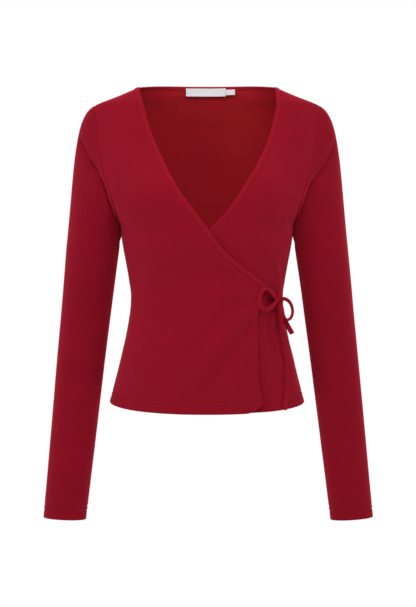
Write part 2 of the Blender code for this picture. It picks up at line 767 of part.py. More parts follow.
def build():
    for old in list(bpy.data.objects):
        bpy.data.objects.remove(old)
    jersey = material("red_jersey", (0.26, 0.006, 0.016), 0.85, 0.3)
    binding = material("red_binding", (0.28, 0.008, 0.02), 0.8, 0.3)
    rouleau = material("red_rouleau", (0.24, 0.006, 0.015), 0.8, 0.3)
    tag = material("white_tag", (0.78, 0.77, 0.8), 0.6)
    add_back("back", jersey)
    add_front("right_front", RIGHT, jersey)
    add_front("left_front", LEFT, jersey)
    add_sleeve("right_sleeve", RIGHT, jersey)
    add_sleeve("left_sleeve", LEFT, jersey)
    add_band("neck_binding", binding)
    for name in TIE_ROUTES:
        add_tie(name, rouleau)
    add_knot("bow_knot", rouleau)
    add_label("neck_label", LABEL, tag, columns=9)
    add_label("size_tab", SIZE_TAB, tag, columns=4)


build()
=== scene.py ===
# The looks of a fitted long-sleeved jersey wrap top. Sizes and places are millimetres where no comment says
# metres, in the part's own frame: +Z up, the front faces -Y, +X is the wearer's left, the origin is mid-neck.
# Each panel is a thin shell on the same surface as its solid, with finer folds, seams and sewn hems.

import math

import bmesh
import bpy
import numpy as np
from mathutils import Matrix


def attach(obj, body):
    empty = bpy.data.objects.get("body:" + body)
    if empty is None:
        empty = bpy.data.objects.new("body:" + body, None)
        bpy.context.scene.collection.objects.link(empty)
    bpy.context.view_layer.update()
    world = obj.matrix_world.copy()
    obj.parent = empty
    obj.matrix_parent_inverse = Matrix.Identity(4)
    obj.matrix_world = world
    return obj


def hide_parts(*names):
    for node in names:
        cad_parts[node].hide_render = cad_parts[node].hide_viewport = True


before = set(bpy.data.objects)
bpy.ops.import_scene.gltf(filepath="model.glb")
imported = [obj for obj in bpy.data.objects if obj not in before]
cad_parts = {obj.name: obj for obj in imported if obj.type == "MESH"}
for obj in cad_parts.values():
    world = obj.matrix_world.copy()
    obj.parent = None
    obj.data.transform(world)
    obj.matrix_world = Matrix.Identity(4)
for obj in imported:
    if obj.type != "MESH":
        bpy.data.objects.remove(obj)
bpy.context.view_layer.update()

MM = 0.001
FRONT, BACK = -1, 1
FACE_COLUMN = {FRONT: "front", BACK: "back"}
RIGHT, LEFT = -1, 1  # the wearer's sides, along X


def table(columns, rows):
    """Rows of numbers as one array for each named column."""
    return dict(zip(columns.split(), np.array(rows, float).T))


# ---------------------------------------------------------------- the camera
PHOTO_WIDTH, PHOTO_HEIGHT = 416, 607
PIXEL = 1.55  # how much of the garment a pixel covers, in the plane of the side seams
MIDDLE_PIXEL = 207.0  # the garment's middle in the photograph
CAMERA_AWAY = 2500.0
CAMERA_Z = -335.6
SENSOR = 36.0


def add_camera():
    data = bpy.data.cameras.new("camera")
    data.sensor_fit = "VERTICAL"
    data.sensor_height = SENSOR
    data.lens = SENSOR * CAMERA_AWAY / (PHOTO_HEIGHT * PIXEL)
    camera = bpy.data.objects.new("camera", data)
    camera.location = ((PHOTO_WIDTH / 2 - MIDDLE_PIXEL) * PIXEL * MM, -CAMERA_AWAY * MM, CAMERA_Z * MM)
    camera.rotation_euler = (math.pi / 2, 0, 0)
    bpy.context.scene.collection.objects.link(camera)
    bpy.context.scene.camera = camera


# ---------------------------------------------------------------- driving sizes
CLOTH = 0.9
SEAM_GAP = 0.06
RIDGE_STEP = 1e-4  # keeps the side seams' points just off the edge of the oval
HEM_CLOTH = 1.7
HEM_Z = -486.0
HEM_DROP_FRONT = 14.0
HEM_RISE_BACK = 5.0
HEM_DEPTH_OF_BODY = 106.0
HEM_DROP_LIMIT = 1.2  # the share of the way from the waist to the hem at which the drop stops growing
FOLD_FADE_ABOVE_HEM = 30.0
WAIST_Z = -324.0
NECKLINE_END_Z = -309.0
LAP_CORNER_Z = -317.0
UNDERARM_Z = -214.0
SHOULDER_X = 173.6
SHOULDER_Z = -29.5
NECK_X = 105.7
BACK_NECK_RISE = 7.5
BACK_NECK_FLATNESS = 4
BAND_WIDTH = 7.7
LAP_LIFT = 3.0  # how far the right front stands off the layer below it
LAP_RISE_ACROSS = 45.0
LAP_TOP_Z = -95.0
LAP_RISE_DOWN = 80.0
CUFF_Z = -664.0
UNDERARM_OPENS_Z = -231.0  # down to here the sleeve lies against the side
UNDERARM_SPREAD = 0.44
CUFF_WIDTH = 63.0
CUFF_SLANT = {RIGHT: 3.1, LEFT: 4.6}  # how much higher the cuff's outer side is than its inner side
CUFF_SLANT_PIVOT = 0.45
CUFF_SLANT_REACH = 60.0
SLEEVE_TOP_Z = -250.0
# The turned edges: how deep they are, and where the twin needle sews. These are heights in the panels' rows,
# before the hem drops at the front, which stretches them there by about a fifth.
HEM = {"depth": 15.7, "stitches": (9.0, 14.5)}
CUFF = {"depth": 20.0, "stitches": (12.7, 18.8)}
CORNER_LIFT = 12.4  # how far the foot of the free edge is turned up, and over what width and height
CORNER_WIDTH = 27.0
CORNER_HEIGHT = 55.0
# How the two layers part at that foot: where, over what width and height, and how far back and forward.
CORNER_GAP = {"x": 71.0, "width": 17.0, "height": 34.0, "back": 8.0, "front": 2.0}

# The torso: its half width, its depth in front of and behind the side seams, and how square its oval is.
BODY = table("z half_width front back square", [
    (-520, 160.5, 107, 106, 2.2),
    (-486, 150.5, 106, 103, 2.2),
    (-460, 143.6, 105, 99, 2.2),
    (-436, 137.4, 103, 95, 2.2),
    (-411, 131.4, 100, 90, 2.25),
    (-386, 125.7, 97, 85, 2.3),
    (-361, 121.2, 94, 80, 2.3),
    (-336, 118.0, 92, 76, 2.3),
    (-324, 117.7, 92, 75, 2.3),
    (-300, 120.7, 95, 77, 2.3),
    (-275, 125.0, 101, 82, 2.35),
    (-250, 129.6, 108, 87, 2.4),
    (-232, 132.4, 112, 90, 2.45),
    (-214, 134.2, 114, 92, 2.5),
    (-204, 140.0, 115, 93, 2.5),
    (-190, 151.0, 114, 94, 2.5),
    (-165, 170.0, 107, 94, 2.5),
    (-130, 184.0, 92, 93, 2.5),
    (-95, 190.0, 74, 88, 2.4),
    (-60, 185.5, 57, 79, 2.35),
    (SHOULDER_Z, SHOULDER_X, 42, 68, 2.3),
    (-15, 140.4, 34, 62, 2.3),
    (0, NECK_X, 26, 56, 2.3),
    (6, 91.3, 23, 54, 2.3),
    (15, 69.7, 20, 51, 2.3),
])

# The armhole seam: how far out it lies on the front and on the back.
ARMHOLE = table("z front back", [
    (UNDERARM_Z, 134.2, 134.2),
    (-204, 135.6, 137.5),
    (-190, 139.0, 144.0),
    (-169, 144.5, 153.0),
    (-147, 151.5, 160.0),
    (-128, 157.5, 164.5),
    (-100, 163.5, 168.5),
    (-50, 169.5, 171.5),
    (SHOULDER_Z, SHOULDER_X, SHOULDER_X),
])

# The open edge of each front: how far it is towards the front's own side, at each height.
NECKLINE = {
    RIGHT: table("z own_side", [
        (0, NECK_X),
        (-35, 96.4),
        (-74, 85.4),
        (-104, 72.9),
        (-135, 58.8),
        (-167, 41.6),
        (-197, 19.7),
        (-228, -3.8),
        (-258, -28.1),
        (-280, -53.5),
        (-290, -66.9),
        (NECKLINE_END_Z, -88.5),
    ]),
    LEFT: table("z own_side", [
        (0, NECK_X),
        (-28, 106.2),
        (-59, 100.5),
        (-95, 89.2),
        (-130, 73.2),
        (-165, 52.7),
        (-199, 28.9),
        (-226, 3.7),
        (-258, -26.0),
        (-280, -51.0),
        (-290, -64.0),
        (NECKLINE_END_Z, -86.0),
    ]),
}

# The upright free edge of a front, below its lapped corner.
LAP_EDGE = table("z own_side", [
    (LAP_CORNER_Z, -83.0),
    (-332, -78.4),
    (-347, -76.0),
    (-383, -74.4),
    (-446, -75.2),
    (-465, -77.8),
    (-486, -82.0),
    (-502, -84.4),
])

# Fullness over the chest: the middle, spread and height of one rounded rise on each side.
CHEST = {"x": 88.0, "z": -178.0, "spread_x": 38.0, "spread_z": 40.0, "rise": 7.0}

# Soft folds, each from one end through a bend to the other. The last column is how steep its lower side is.
FOLD_COLUMNS = "x0 z0 x1 z1 x2 z2 half_width rise steep"
FOLD_STEPS = 33  # places along a fold at which its distance is taken
FOLD_END = 0.02  # a fold's very ends are as high as it is this share of its length further in
FOLD_REACH = 3  # half widths from its line beyond which a fold adds nothing
UNDER_FOLD_SPREAD = 1.5
FOLDS = table(FOLD_COLUMNS, [
    (80, -352, 46, -398, -14, -474, 8, -5.6, 1),
    (72, -340, 28, -380, -16, -444, 8, 4.2, 1),
    (40, -338, 8, -372, -22, -410, 10, -3.0, 1),
    (60, -318, 4, -322, -60, -352, 12, 1.8, 1),
    (64, -300, 8, -292, -84, -300, 13, -1.8, 1),
    (-50, -282, -84, -276, -112, -270, 12, -1.6, 1),
])
# The layer below gives way wherever the right front has a trough, and more widely.
UNDER_FOLDS = {name: column[FOLDS["rise"] < 0] for name, column in FOLDS.items()}
UNDER_FOLDS["half_width"] = UNDER_FOLDS["half_width"] * UNDER_FOLD_SPREAD

BACK_FOLDS = table(FOLD_COLUMNS, [
    (-104, -330, -40, -352, 20, -392, 13, -2.2, 1),
    (104, -322, 46, -342, -6, -368, 13, -2.2, 1),
    (-98, -296, -30, -304, 40, -298, 14, -1.8, 1),
    (96, -180, 60, -214, 44, -262, 14, -2.0, 1),
    (-96, -180, -60, -214, -44, -262, 14, -2.0, 1),
])

# Finer creases, which only the shells have.
FINE_FOLDS = {
    "right_front": table(FOLD_COLUMNS, [
        (82, -326, 60, -338, 30, -352, 5.0, -1.1, 2.0),
        (80, -338, 64, -358, 44, -388, 4.5, -1.2, 2.2),
        (84, -322, 52, -322, 18, -326, 5.5, 0.9, 1.6),
        (82, -332, 52, -350, 18, -388, 5.5, 1.0, 1.8),
        (70, -304, 44, -284, 20, -262, 6.0, -0.9, 1.8),
        (56, -296, 30, -282, 2, -272, 7.0, 0.8, 1.5),
        (76, -310, 60, -300, 48, -284, 4.5, -0.8, 2.0),
        (28, -412, 2, -440, -16, -470, 7.0, 0.9, 1.5),
        (58, -392, 42, -420, 30, -462, 8.0, -0.9, 1.6),
        (-84, -292, -60, -288, -34, -296, 6.0, -0.8, 1.8),
        (-118, -356, -96, -366, -76, -362, 7.0, -0.9, 1.6),
        (-110, -326, -82, -342, -44, -338, 8.0, 0.8, 1.4),
        (-124, -244, -108, -262, -84, -270, 8.0, -1.0, 1.5),
        (-134, -212, -112, -224, -96, -240, 7.0, -0.9, 1.6),
        (-114, -226, -88, -240, -60, -230, 13.0, -3.2, 1),
    ]),
    "left_front": table(FOLD_COLUMNS, [
        (100, -346, 104, -390, 114, -442, 3.4, 2.4, 1),
        (104, -346, 108, -390, 118, -442, 2.6, -2.0, 1),
        (94, -346, 95, -380, 99, -424, 5.0, -1.4, 1.8),
        (108, -300, 92, -276, 78, -256, 5.0, -1.0, 1.8),
        (112, -306, 108, -282, 96, -262, 4.5, 0.9, 1.8),
        (116, -318, 116, -290, 110, -266, 5.0, -0.9, 1.6),
        (84, -222, 104, -234, 124, -220, 12.0, -2.8, 1),
        (122, -382, 130, -424, 134, -462, 7.0, 0.8, 1.5),
        (81, -316, 76, -362, 77, -416, 2.6, -1.8, 1),
        (77, -372, 74, -430, 82, -484, 2.6, -1.6, 1),
        (102, -320, 94, -328, 88, -346, 7.0, -4.5, 1.3),
        (78, -368, 94, -371, 112, -366, 15.0, -6.0, 0.42),
    ]),
    "back": table(FOLD_COLUMNS, [
        (-112, -318, -74, -330, -30, -352, 6.0, -1.1, 1.8),
        (112, -332, 78, -352, 34, -370, 6.0, -1.1, 1.8),
        (-92, -348, -50, -372, -14, -414, 7.0, 0.9, 1.5),
        (96, -296, 58, -306, 12, -302, 7.0, -0.9, 1.5),
        (-40, -318, 4, -312, 52, -322, 8.0, 0.9, 1.4),
        (60, -390, 44, -424, 40, -466, 8.0, -0.8, 1.5),
        (-128, -206, -104, -232, -92, -262, 7.0, -1.0, 1.6),
        (128, -206, 104, -232, 92, -262, 7.0, -1.0, 1.6),
        (-146, -170, -120, -188, -96, -196, 8.0, -0.9, 1.5),
        (146, -166, 118, -180, 90, -184, 8.0, -0.9, 1.5),
        (-60, -60, -10, -52, 44, -60, 11.0, 0.8, 1.3),
    ]),
}

# The sleeve below the cap: the middle of the tube, its half width and its half depth.
SLEEVE = table("z middle_x middle_y half_width half_depth", [
    (-250, 176.9, 1, 41.1, 43.0),
    (-324, 184.6, 1, 39.2, 38.5),
    (-411, 194.0, -5, 37.4, 34.0),
    (-498, 203.4, -13, 35.8, 31.0),
    (-585, 212.7, -21, 34.2, 28.5),
    (-664, 221.3, -28, 32.7, 26.5),
])

# How much further out than that each sleeve hangs.
SWING = table("z right left", [
    (-250, 0.0, 0.4),
    (-324, 0.0, 1.5),
    (-411, -0.4, 1.5),
    (-498, -1.6, 1.2),
    (-585, -2.6, 0.8),
    (-664, -3.4, 0.4),
])

# The cap breaks over the hanging sleeve along this line, from the outer edge in to the underarm.
CAP_BREAK = table(FOLD_COLUMNS, [
    (200, -79, 178, -116, 160, -144, 12, -5.0, 1),
    (160, -144, 150, -174, 138, -214, 11, -4.5, 1),
    (194, -118, 176, -144, 158, -190, 13, 2.2, 1),
])

# The sharp creases under the cap. Each sinks twice: widely with a long lower side, and again at its line.
CAP_CREASES = [
    (199, -72, 187, -104, 166, -134),
    (178, -118, 160, -138, 151, -172),
    (158, -146, 149, -182, 132, -222),
]
CAP_CREASE_DEPTHS = [-4.2, -4.4, -4.4]

# Finer creases on the sleeves: x is measured out from the middle of the garment.
SLEEVE_FOLDS = {
    FRONT: table(FOLD_COLUMNS, [
        *((*place, 2.8, rise, 0.24) for place, rise in zip(CAP_CREASES, CAP_CREASE_DEPTHS)),
        *((*place, 2.2, -3.0, 1) for place in CAP_CREASES),
        (152, -216, 156, -246, 164, -270, 8.0, -0.7, 1.4),
        (150, -300, 176, -318, 206, -322, 8.0, -1.0, 1.6),
        (158, -352, 180, -372, 212, -368, 8.0, -1.1, 1.6),
        (160, -372, 186, -396, 216, -398, 9.0, 0.9, 1.5),
        (170, -430, 192, -446, 222, -440, 8.0, -0.9, 1.6),
        (186, -536, 206, -548, 234, -542, 9.0, -0.7, 1.5),
        (192, -604, 214, -612, 240, -604, 8.0, -0.6, 1.5),
    ]),
    BACK: table(FOLD_COLUMNS, [
        (186, -96, 176, -134, 164, -180, 7.0, -1.6, 1.8),
        (154, -222, 168, -250, 190, -262, 8.0, -1.4, 1.6),
        (150, -318, 178, -330, 210, -318, 8.0, -1.2, 1.6),
        (154, -346, 184, -350, 214, -338, 7.0, -1.2, 1.7),
        (160, -366, 186, -376, 218, -362, 8.0, 0.9, 1.5),
        (168, -452, 196, -458, 226, -446, 9.0, -0.8, 1.5),
    ]),
}

# ---------------------------------------------------------------- mesh density
COLUMNS = {RIGHT: 150, LEFT: 140}
BACK_SHOULDER_COLUMNS = 22
BACK_NECK_COLUMNS = 40
# Rows above a turned edge: at its rim, close to both stitch lines, between them and just above its depth.
HEM_ROWS, CUFF_ROWS = (
    np.sort(
        [0, 0.7, 1.6, 3.2, 5.2, 7.0]
        + [line + step for line in edge["stitches"] for step in (-1.2, -0.6, 0.0, 0.6, 1.2)]
        + [sum(edge["stitches"]) / 2, edge["depth"] + 0.5, edge["depth"] + 1.5]
    )
    for edge in (HEM, CUFF)
)
ROWS_BELOW_CORNER = 62
ROWS_BELOW_ARM = 42
ROWS_OF_ARMHOLE = 84
CAP_RINGS = 60
SLEEVE_RINGS = 150
CAP_RING_SPACING = 1.25  # above 1, the rings of the cap lie closer to each other near the armhole
SAMPLES = 241
MAP_STEPS = 33
FAR_AWAY = 50.0  # further than any seam's dip reaches


# ---------------------------------------------------------------- curves and surfaces
def curve_between(t, start, leave, end, arrive):
    """The cubic from `start` to `end` at shares t, with its directions at both ends."""
    return (
        (2 * t**3 - 3 * t**2 + 1) * start
        + (t**3 - 2 * t**2 + t) * leave
        + (3 * t**2 - 2 * t**3) * end
        + (t**3 - t**2) * arrive
    )


def smooth(xs, ys, x):
    """The smooth curve through the points (xs, ys), read at x. It never overshoots a point."""
    order = np.argsort(xs)
    xs, ys = xs[order], ys[order]
    steps = np.diff(xs)
    slopes = np.diff(ys) / steps
    tangents = np.zeros(len(xs))
    tangents[0], tangents[-1] = slopes[0], slopes[-1]
    same = slopes[:-1] * slopes[1:] > 0
    before = 2 * steps[1:] + steps[:-1]
    after = steps[1:] + 2 * steps[:-1]
    safe = np.where(same, slopes[:-1] * slopes[1:], 1.0)
    harmonic = (before + after) * safe / np.where(same, before * slopes[1:] + after * slopes[:-1], 1.0)
    tangents[1:-1] = np.where(same, harmonic, 0.0)
    x = np.clip(x, xs[0], xs[-1])
    k = np.clip(np.searchsorted(xs, x) - 1, 0, len(steps) - 1)
    t = (x - xs[k]) / steps[k]
    return curve_between(t, ys[k], steps[k] * tangents[k], ys[k + 1], steps[k] * tangents[k + 1])


def ease(value):
    """0 below 0, 1 above 1, and smooth between."""
    value = np.clip(value, 0.0, 1.0)
    return value * value * (3 - 2 * value)


def read(rows, column, z):
    return smooth(rows["z"], rows[column], z)


def unit(vectors):
    return vectors / np.linalg.norm(vectors, axis=-1, keepdims=True)


def fold_relief(rows, x, z):
    """The height that folds add at (x, z). Each fades at its ends, and can be steeper on its lower side."""
    height = np.zeros_like(x)
    steps = np.linspace(0, 1, FOLD_STEPS)
    fade = np.sqrt(np.sin(np.pi * np.clip(steps, FOLD_END, 1 - FOLD_END)))
    for k in range(len(rows["x0"])):
        fold = {name: column[k] for name, column in rows.items()}
        first, bend, last = (np.array([[fold["x" + place]], [fold["z" + place]]]) for place in "012")
        line = (1 - steps) ** 2 * first + 2 * (1 - steps) * steps * bend + steps**2 * last
        reach = FOLD_REACH * fold["half_width"]
        low, high = line.min(axis=1) - reach, line.max(axis=1) + reach
        near = (x > low[0]) & (x < high[0]) & (z > low[1]) & (z < high[1])
        if not near.any():
            continue
        away_x = x[near][:, None] - line[0]
        away_z = z[near][:, None] - line[1]
        gaps = np.hypot(away_x, away_z)
        nearest = gaps.argmin(axis=-1)
        gap = gaps.min(axis=-1)
        below = away_z[np.arange(len(gap)), nearest] < 0
        spread = fold["half_width"] / np.where(below, fold["steep"], 1.0)
        height[near] += fold["rise"] * fade[nearest] * np.exp(-((gap / spread) ** 2))
    return height


def torso_depth(x, z, face):
    """How far the bare surface lies from the side seams' plane, forwards or backwards."""
    share = np.minimum(np.abs(x) / read(BODY, "half_width", z), 1.0)
    depth = read(BODY, FACE_COLUMN[face], z)
    return face * depth * np.sqrt(1.0 - share ** read(BODY, "square", z))


def torso_normal(points, face):
    """Outward directions, from the slope of the oval's equation; true at the side and shoulder seams too."""

    def level(x, y, z):
        share = np.abs(x) / read(BODY, "half_width", z)
        depth = read(BODY, FACE_COLUMN[face], z)
        return share ** read(BODY, "square", z) + (y / depth) ** 2

    x, y, z = np.moveaxis(points, -1, 0)
    step = 0.05
    slope = [
        level(x + step, y, z) - level(x - step, y, z),
        level(x, y + step, z) - level(x, y - step, z),
        level(x, y, z + step) - level(x, y, z - step),
    ]
    return unit(np.stack(slope, axis=-1))


def torso_relief(x, z, face):
    """What fullness and folds add to the bare surface."""
    if face == BACK:
        return fold_relief(BACK_FOLDS, x, z)
    across = (np.abs(x) - CHEST["x"]) / CHEST["spread_x"]
    up = (z - CHEST["z"]) / CHEST["spread_z"]
    return CHEST["rise"] * np.exp(-(across**2) - up**2)


def lap_layer(x, z):
    """How far the right front stands off: nothing at its side seam or shoulder, all of it where it laps."""
    from_side = (x + read(BODY, "half_width", z)) / LAP_RISE_ACROSS
    from_shoulder = (LAP_TOP_Z - z) / LAP_RISE_DOWN
    return LAP_LIFT * ease(from_side) * ease(from_shoulder)


def torso(x, z, face, side=None, fine=True):
    """Points of the cloth's outer side and their outward directions. The right front lies on the left one."""
    x, z = np.asarray(x, float), np.asarray(z, float)
    points = np.stack([x, torso_depth(x, z, face), z], axis=-1)
    normals = torso_normal(points, face)
    relief = torso_relief(x, z, face)
    above_hem = ease((z - HEM_Z) / FOLD_FADE_ABOVE_HEM)
    if face == FRONT:
        folds = FOLDS if side == RIGHT else UNDER_FOLDS
        relief = relief + fold_relief(folds, x, z) * above_hem
    if fine:
        panel = "back" if face == BACK else "right_front" if side == RIGHT else "left_front"
        relief = relief + fold_relief(FINE_FOLDS[panel], x, z) * above_hem
    if side == RIGHT:
        relief = relief + lap_layer(x, z)
    points = points + normals * relief[..., None]
    lower = np.clip((WAIST_Z - z) / (WAIST_Z - HEM_Z), 0.0, HEM_DROP_LIMIT) ** 2
    forward = -points[..., 1] / HEM_DEPTH_OF_BODY
    points[..., 2] -= np.where(forward > 0, HEM_DROP_FRONT, HEM_RISE_BACK) * forward * lower
    return points, normals


def neck_edges(side, offset):
    """One front's open edge and the line `offset` inside its cloth, as dense (x, z) pairs from the top."""
    z = NECKLINE_END_Z * np.linspace(0, 1, SAMPLES) ** 2
    x = side * read(NECKLINE[side], "own_side", z)
    points, normals = torso(x, z, FRONT, fine=False)
    along = unit(np.gradient(points, axis=0))
    along[0] = (0, -1, 0)
    inside = points + side * offset * np.cross(normals, along)
    return np.stack([x, z], axis=-1), inside[:, [0, 2]]


def back_neck_edges(offset):
    """The same for the back neck, from the wearer's right shoulder to the left."""
    turn = np.linspace(-1, 1, SAMPLES) * math.pi / 2
    x = NECK_X * np.sin(turn)
    z = BACK_NECK_RISE * (1 - np.sin(turn) ** BACK_NECK_FLATNESS)
    points, normals = torso(x, z, BACK, fine=False)
    along = unit(np.gradient(points, axis=0))
    along[0], along[-1] = (0, 1, 0), (0, -1, 0)
    inside = points + offset * np.cross(normals, along)
    return np.stack([x, z], axis=-1), inside[:, [0, 2]]


def even_spots(line, count, first, last):
    """`count` places at even steps along a dense line between two of its places, as fractional indices."""
    index = np.arange(len(line))
    lengths = np.concatenate([[0], np.cumsum(np.hypot(*np.diff(line, axis=0).T))])
    ends = np.interp([first, last], index, lengths)
    return np.interp(np.linspace(*ends, count), lengths, index)


def pick(line, spots):
    """The (x, z) pairs of a dense line at fractional indices."""
    return read_along(spots, np.arange(len(line)), line)


def lengths_along(points):
    return np.concatenate([[0], np.cumsum(np.linalg.norm(np.diff(points, axis=0), axis=1))])


def read_along(spots, marks, rows):
    """Rows of values that belong to `marks`, read in between, at `spots`."""
    return np.stack([np.interp(spots, marks, column) for column in rows.T], axis=-1)


OUTER_MARKS = [0, 0.7, 1.6]  # extra columns close to a seam, and close to a front's inner edge
INNER_MARKS = [0, 0.7, 1.6, 3.2, 5.0, 7.0, 8.2, 9.0, 9.8, 11.5]
MARK_STEP = 1.5  # from the last of them to the first evenly spaced column
TURNED_EDGE = 9.0  # how far in a front's free edge is sewn down


def torso_row(outer, inner, count, face, side=None, inner_marks=()):
    """Cloth points from `outer` to `inner`, two (x, z) pairs: evenly spaced, and closer at the edges."""
    pull = 1 - np.cos(np.linspace(0, 1, SAMPLES) * math.pi / 2)
    line = outer + (np.asarray(inner) - outer) * pull[:, None]
    points, _ = torso(line[:, 0], line[:, 1], face, side, fine=False)
    lengths = lengths_along(points)
    first = OUTER_MARKS[-1] + MARK_STEP
    last = lengths[-1] - (inner_marks[-1] + MARK_STEP if inner_marks else 0.0)
    middle = np.linspace(first, last, count - len(OUTER_MARKS) - len(inner_marks))
    marks = np.concatenate([OUTER_MARKS, middle, lengths[-1] - np.array(inner_marks[::-1])])
    even = np.interp(marks, lengths, pull)
    line = outer + (np.asarray(inner) - outer) * even[:, None]
    return torso(line[:, 0], line[:, 1], face, side)


def shoulder_row(neck_end, count, face, side=LEFT):
    """The shoulder seam, on the ridge between front and back, from the armhole to the neck."""
    z = np.linspace(SHOULDER_Z, neck_end[1], count)
    x = side * (read(BODY, "half_width", z) - RIDGE_STEP)
    return torso(x, z, face, side if face == FRONT else None)


LOW_ROWS = np.concatenate(
    [
        HEM_Z + HEM_ROWS,
        np.linspace(HEM_Z + HEM_ROWS[-1], LAP_CORNER_Z, ROWS_BELOW_CORNER)[1:],
        np.linspace(LAP_CORNER_Z, UNDERARM_Z, ROWS_BELOW_ARM + 1)[1:],
    ]
)
IS_FREE = LOW_ROWS < LAP_CORNER_Z - 0.01  # the rows that end at the free edge, below the lapped corner
ARMHOLE_TURN = np.linspace(0, math.pi, ROWS_OF_ARMHOLE + 1)
ARMHOLE_ROWS = UNDERARM_Z + (SHOULDER_Z - UNDERARM_Z) * (1 - np.cos(ARMHOLE_TURN)) / 2


def armhole_x(z, face):
    return read(ARMHOLE, FACE_COLUMN[face], z)


# ---------------------------------------------------------------- what sewing does to the cloth
# How deep a line of sewing sinks, and how far from it the cloth is drawn in.
SEAM_DIP = {"depth": 0.5, "reach": 1.3}
FRONT_SIDE_DIP = {"depth": 0.12, "reach": 1.0}
BACK_SIDE_DIP = {"depth": 0.3, "reach": 1.3}
FREE_EDGE_DIP = {"depth": 0.32, "reach": 0.9}
CAP_SEAM_DIP = {"depth": 0.1, "reach": 0.9}
SLEEVE_SEAM_DIP = {"depth": 0.35, "reach": 1.6}
STITCH_DIP = {"depth": 0.8, "reach": 1.1}
SEAM_START = 0.7  # how far from a seam's own edge its relief takes to set in
TUNNEL = {"rise": 0.3, "reach": 1.6}  # the ridge between the twin needle's lines
FRILL = {"rise": 0.22, "reach": 14.0}  # the turned edge's uneven wave
# The free edge rolls outwards, and more so near its foot.
FREE_EDGE_ROLL = {"rise": 1.9, "reach": 5.5, "share": 0.8, "share_at_foot": 0.5, "foot": 22.0}
CAP_RIDGE = {"rise": 0.3, "away": 2.6, "reach": 1.8}  # the seam allowance shows through below the cap's seam
PUCKERS = table("wave height start", [(9.3, 0.5, 0.7), (5.1, 0.3, 2.1), (14.7, 0.35, 4.0)])


def bell(distance, reach):
    return np.exp(-((distance / reach) ** 2))


def dip(distance, line=SEAM_DIP):
    return -line["depth"] * bell(distance, line["reach"])


def puckers(distance):
    """An uneven small wave along a sewn edge, between about -1 and 1."""
    waves = [
        height * np.sin(2 * math.pi * distance / wave + start)
        for wave, height, start in zip(PUCKERS["wave"], PUCKERS["height"], PUCKERS["start"])
    ]
    return sum(waves)


def hem_relief(above, along, edge):
    """The twin needle's two sunk lines, the tunnel between them, and the slight frill of the edge below."""
    first, second = edge["stitches"]
    lines = dip(above - first, STITCH_DIP) + dip(above - second, STITCH_DIP)
    tunnel = TUNNEL["rise"] * bell(above - (first + second) / 2, TUNNEL["reach"])
    frill = FRILL["rise"] * puckers(along) * bell(above, FRILL["reach"])
    return lines + tunnel + frill


# ---------------------------------------------------------------- meshes
def face_outwards(mesh, joined=False):
    """Turns all faces outwards. It first joins points that lie on each other where `joined` asks for it."""
    work = bmesh.new()
    work.from_mesh(mesh)
    if joined:
        bmesh.ops.remove_doubles(work, verts=work.verts, dist=1e-7)
    bmesh.ops.recalc_face_normals(work, faces=work.faces)
    work.to_mesh(mesh)
    work.free()


def grid_quads(index):
    """The four-cornered faces between the rows and columns of a grid of point numbers."""
    return np.stack([index[:-1, :-1], index[:-1, 1:], index[1:, 1:], index[1:, :-1]], axis=-1).reshape(-1, 4)


def paint_inner_side_light(piece, inside, is_inside):
    """Gives the faces marked in `is_inside` the lighter inner cloth: painted light that brightens the shaded
    inner side.
    """
    piece.data.materials.append(inside)
    piece.data.polygons.foreach_set("material_index", np.asarray(is_inside, int))


def add_mesh(name, points, faces, surface, flat_map=None):
    mesh = bpy.data.meshes.new(name)
    mesh.from_pydata((np.asarray(points) * MM).tolist(), [], faces)
    face_outwards(mesh)
    if flat_map is not None:
        corners = np.zeros(len(mesh.loops), int)
        mesh.loops.foreach_get("vertex_index", corners)
        layer = mesh.uv_layers.new(name="cloth")
        layer.data.foreach_set("uv", (np.asarray(flat_map) * MM)[corners].ravel())
    mesh.shade_smooth()
    mesh.materials.append(surface)
    made = bpy.data.objects.new(name, mesh)
    bpy.context.scene.collection.objects.link(made)
    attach(made, "root")
    return made


RIM_ROUNDING = 0.35  # how far a rim stands out, in cloth thicknesses
FIRST_STITCH = 0.3
STITCH_SIDES = 5
STITCH_LIFT = 0.12
# A stitch: places along it, how thick it is there, and how far out of the cloth.
BULGE = table("along size rise", [(0.0, 0.35, -0.1), (0.25, 0.95, 0.1), (0.75, 0.95, 0.1), (1.0, 0.35, -0.1)])


def border_of(rows, columns, tube):
    """The border of a grid as loops of (row, column) places, each with its neighbour further in."""
    if tube:
        return [
            [((0, j), (1, j)) for j in range(columns)],
            [((rows - 1, j), (rows - 2, j)) for j in range(columns)],
        ]
    last_row, last_column = rows - 1, columns - 1
    places = [(0, j) for j in range(columns)]
    places += [(i, last_column) for i in range(1, rows)]
    places += [(last_row, j) for j in range(last_column - 1, -1, -1)]
    places += [(i, 0) for i in range(last_row - 1, 0, -1)]
    inward = [(min(max(i, 1), last_row - 1), min(max(j, 1), last_column - 1)) for i, j in places]
    return [list(zip(places, inward))]


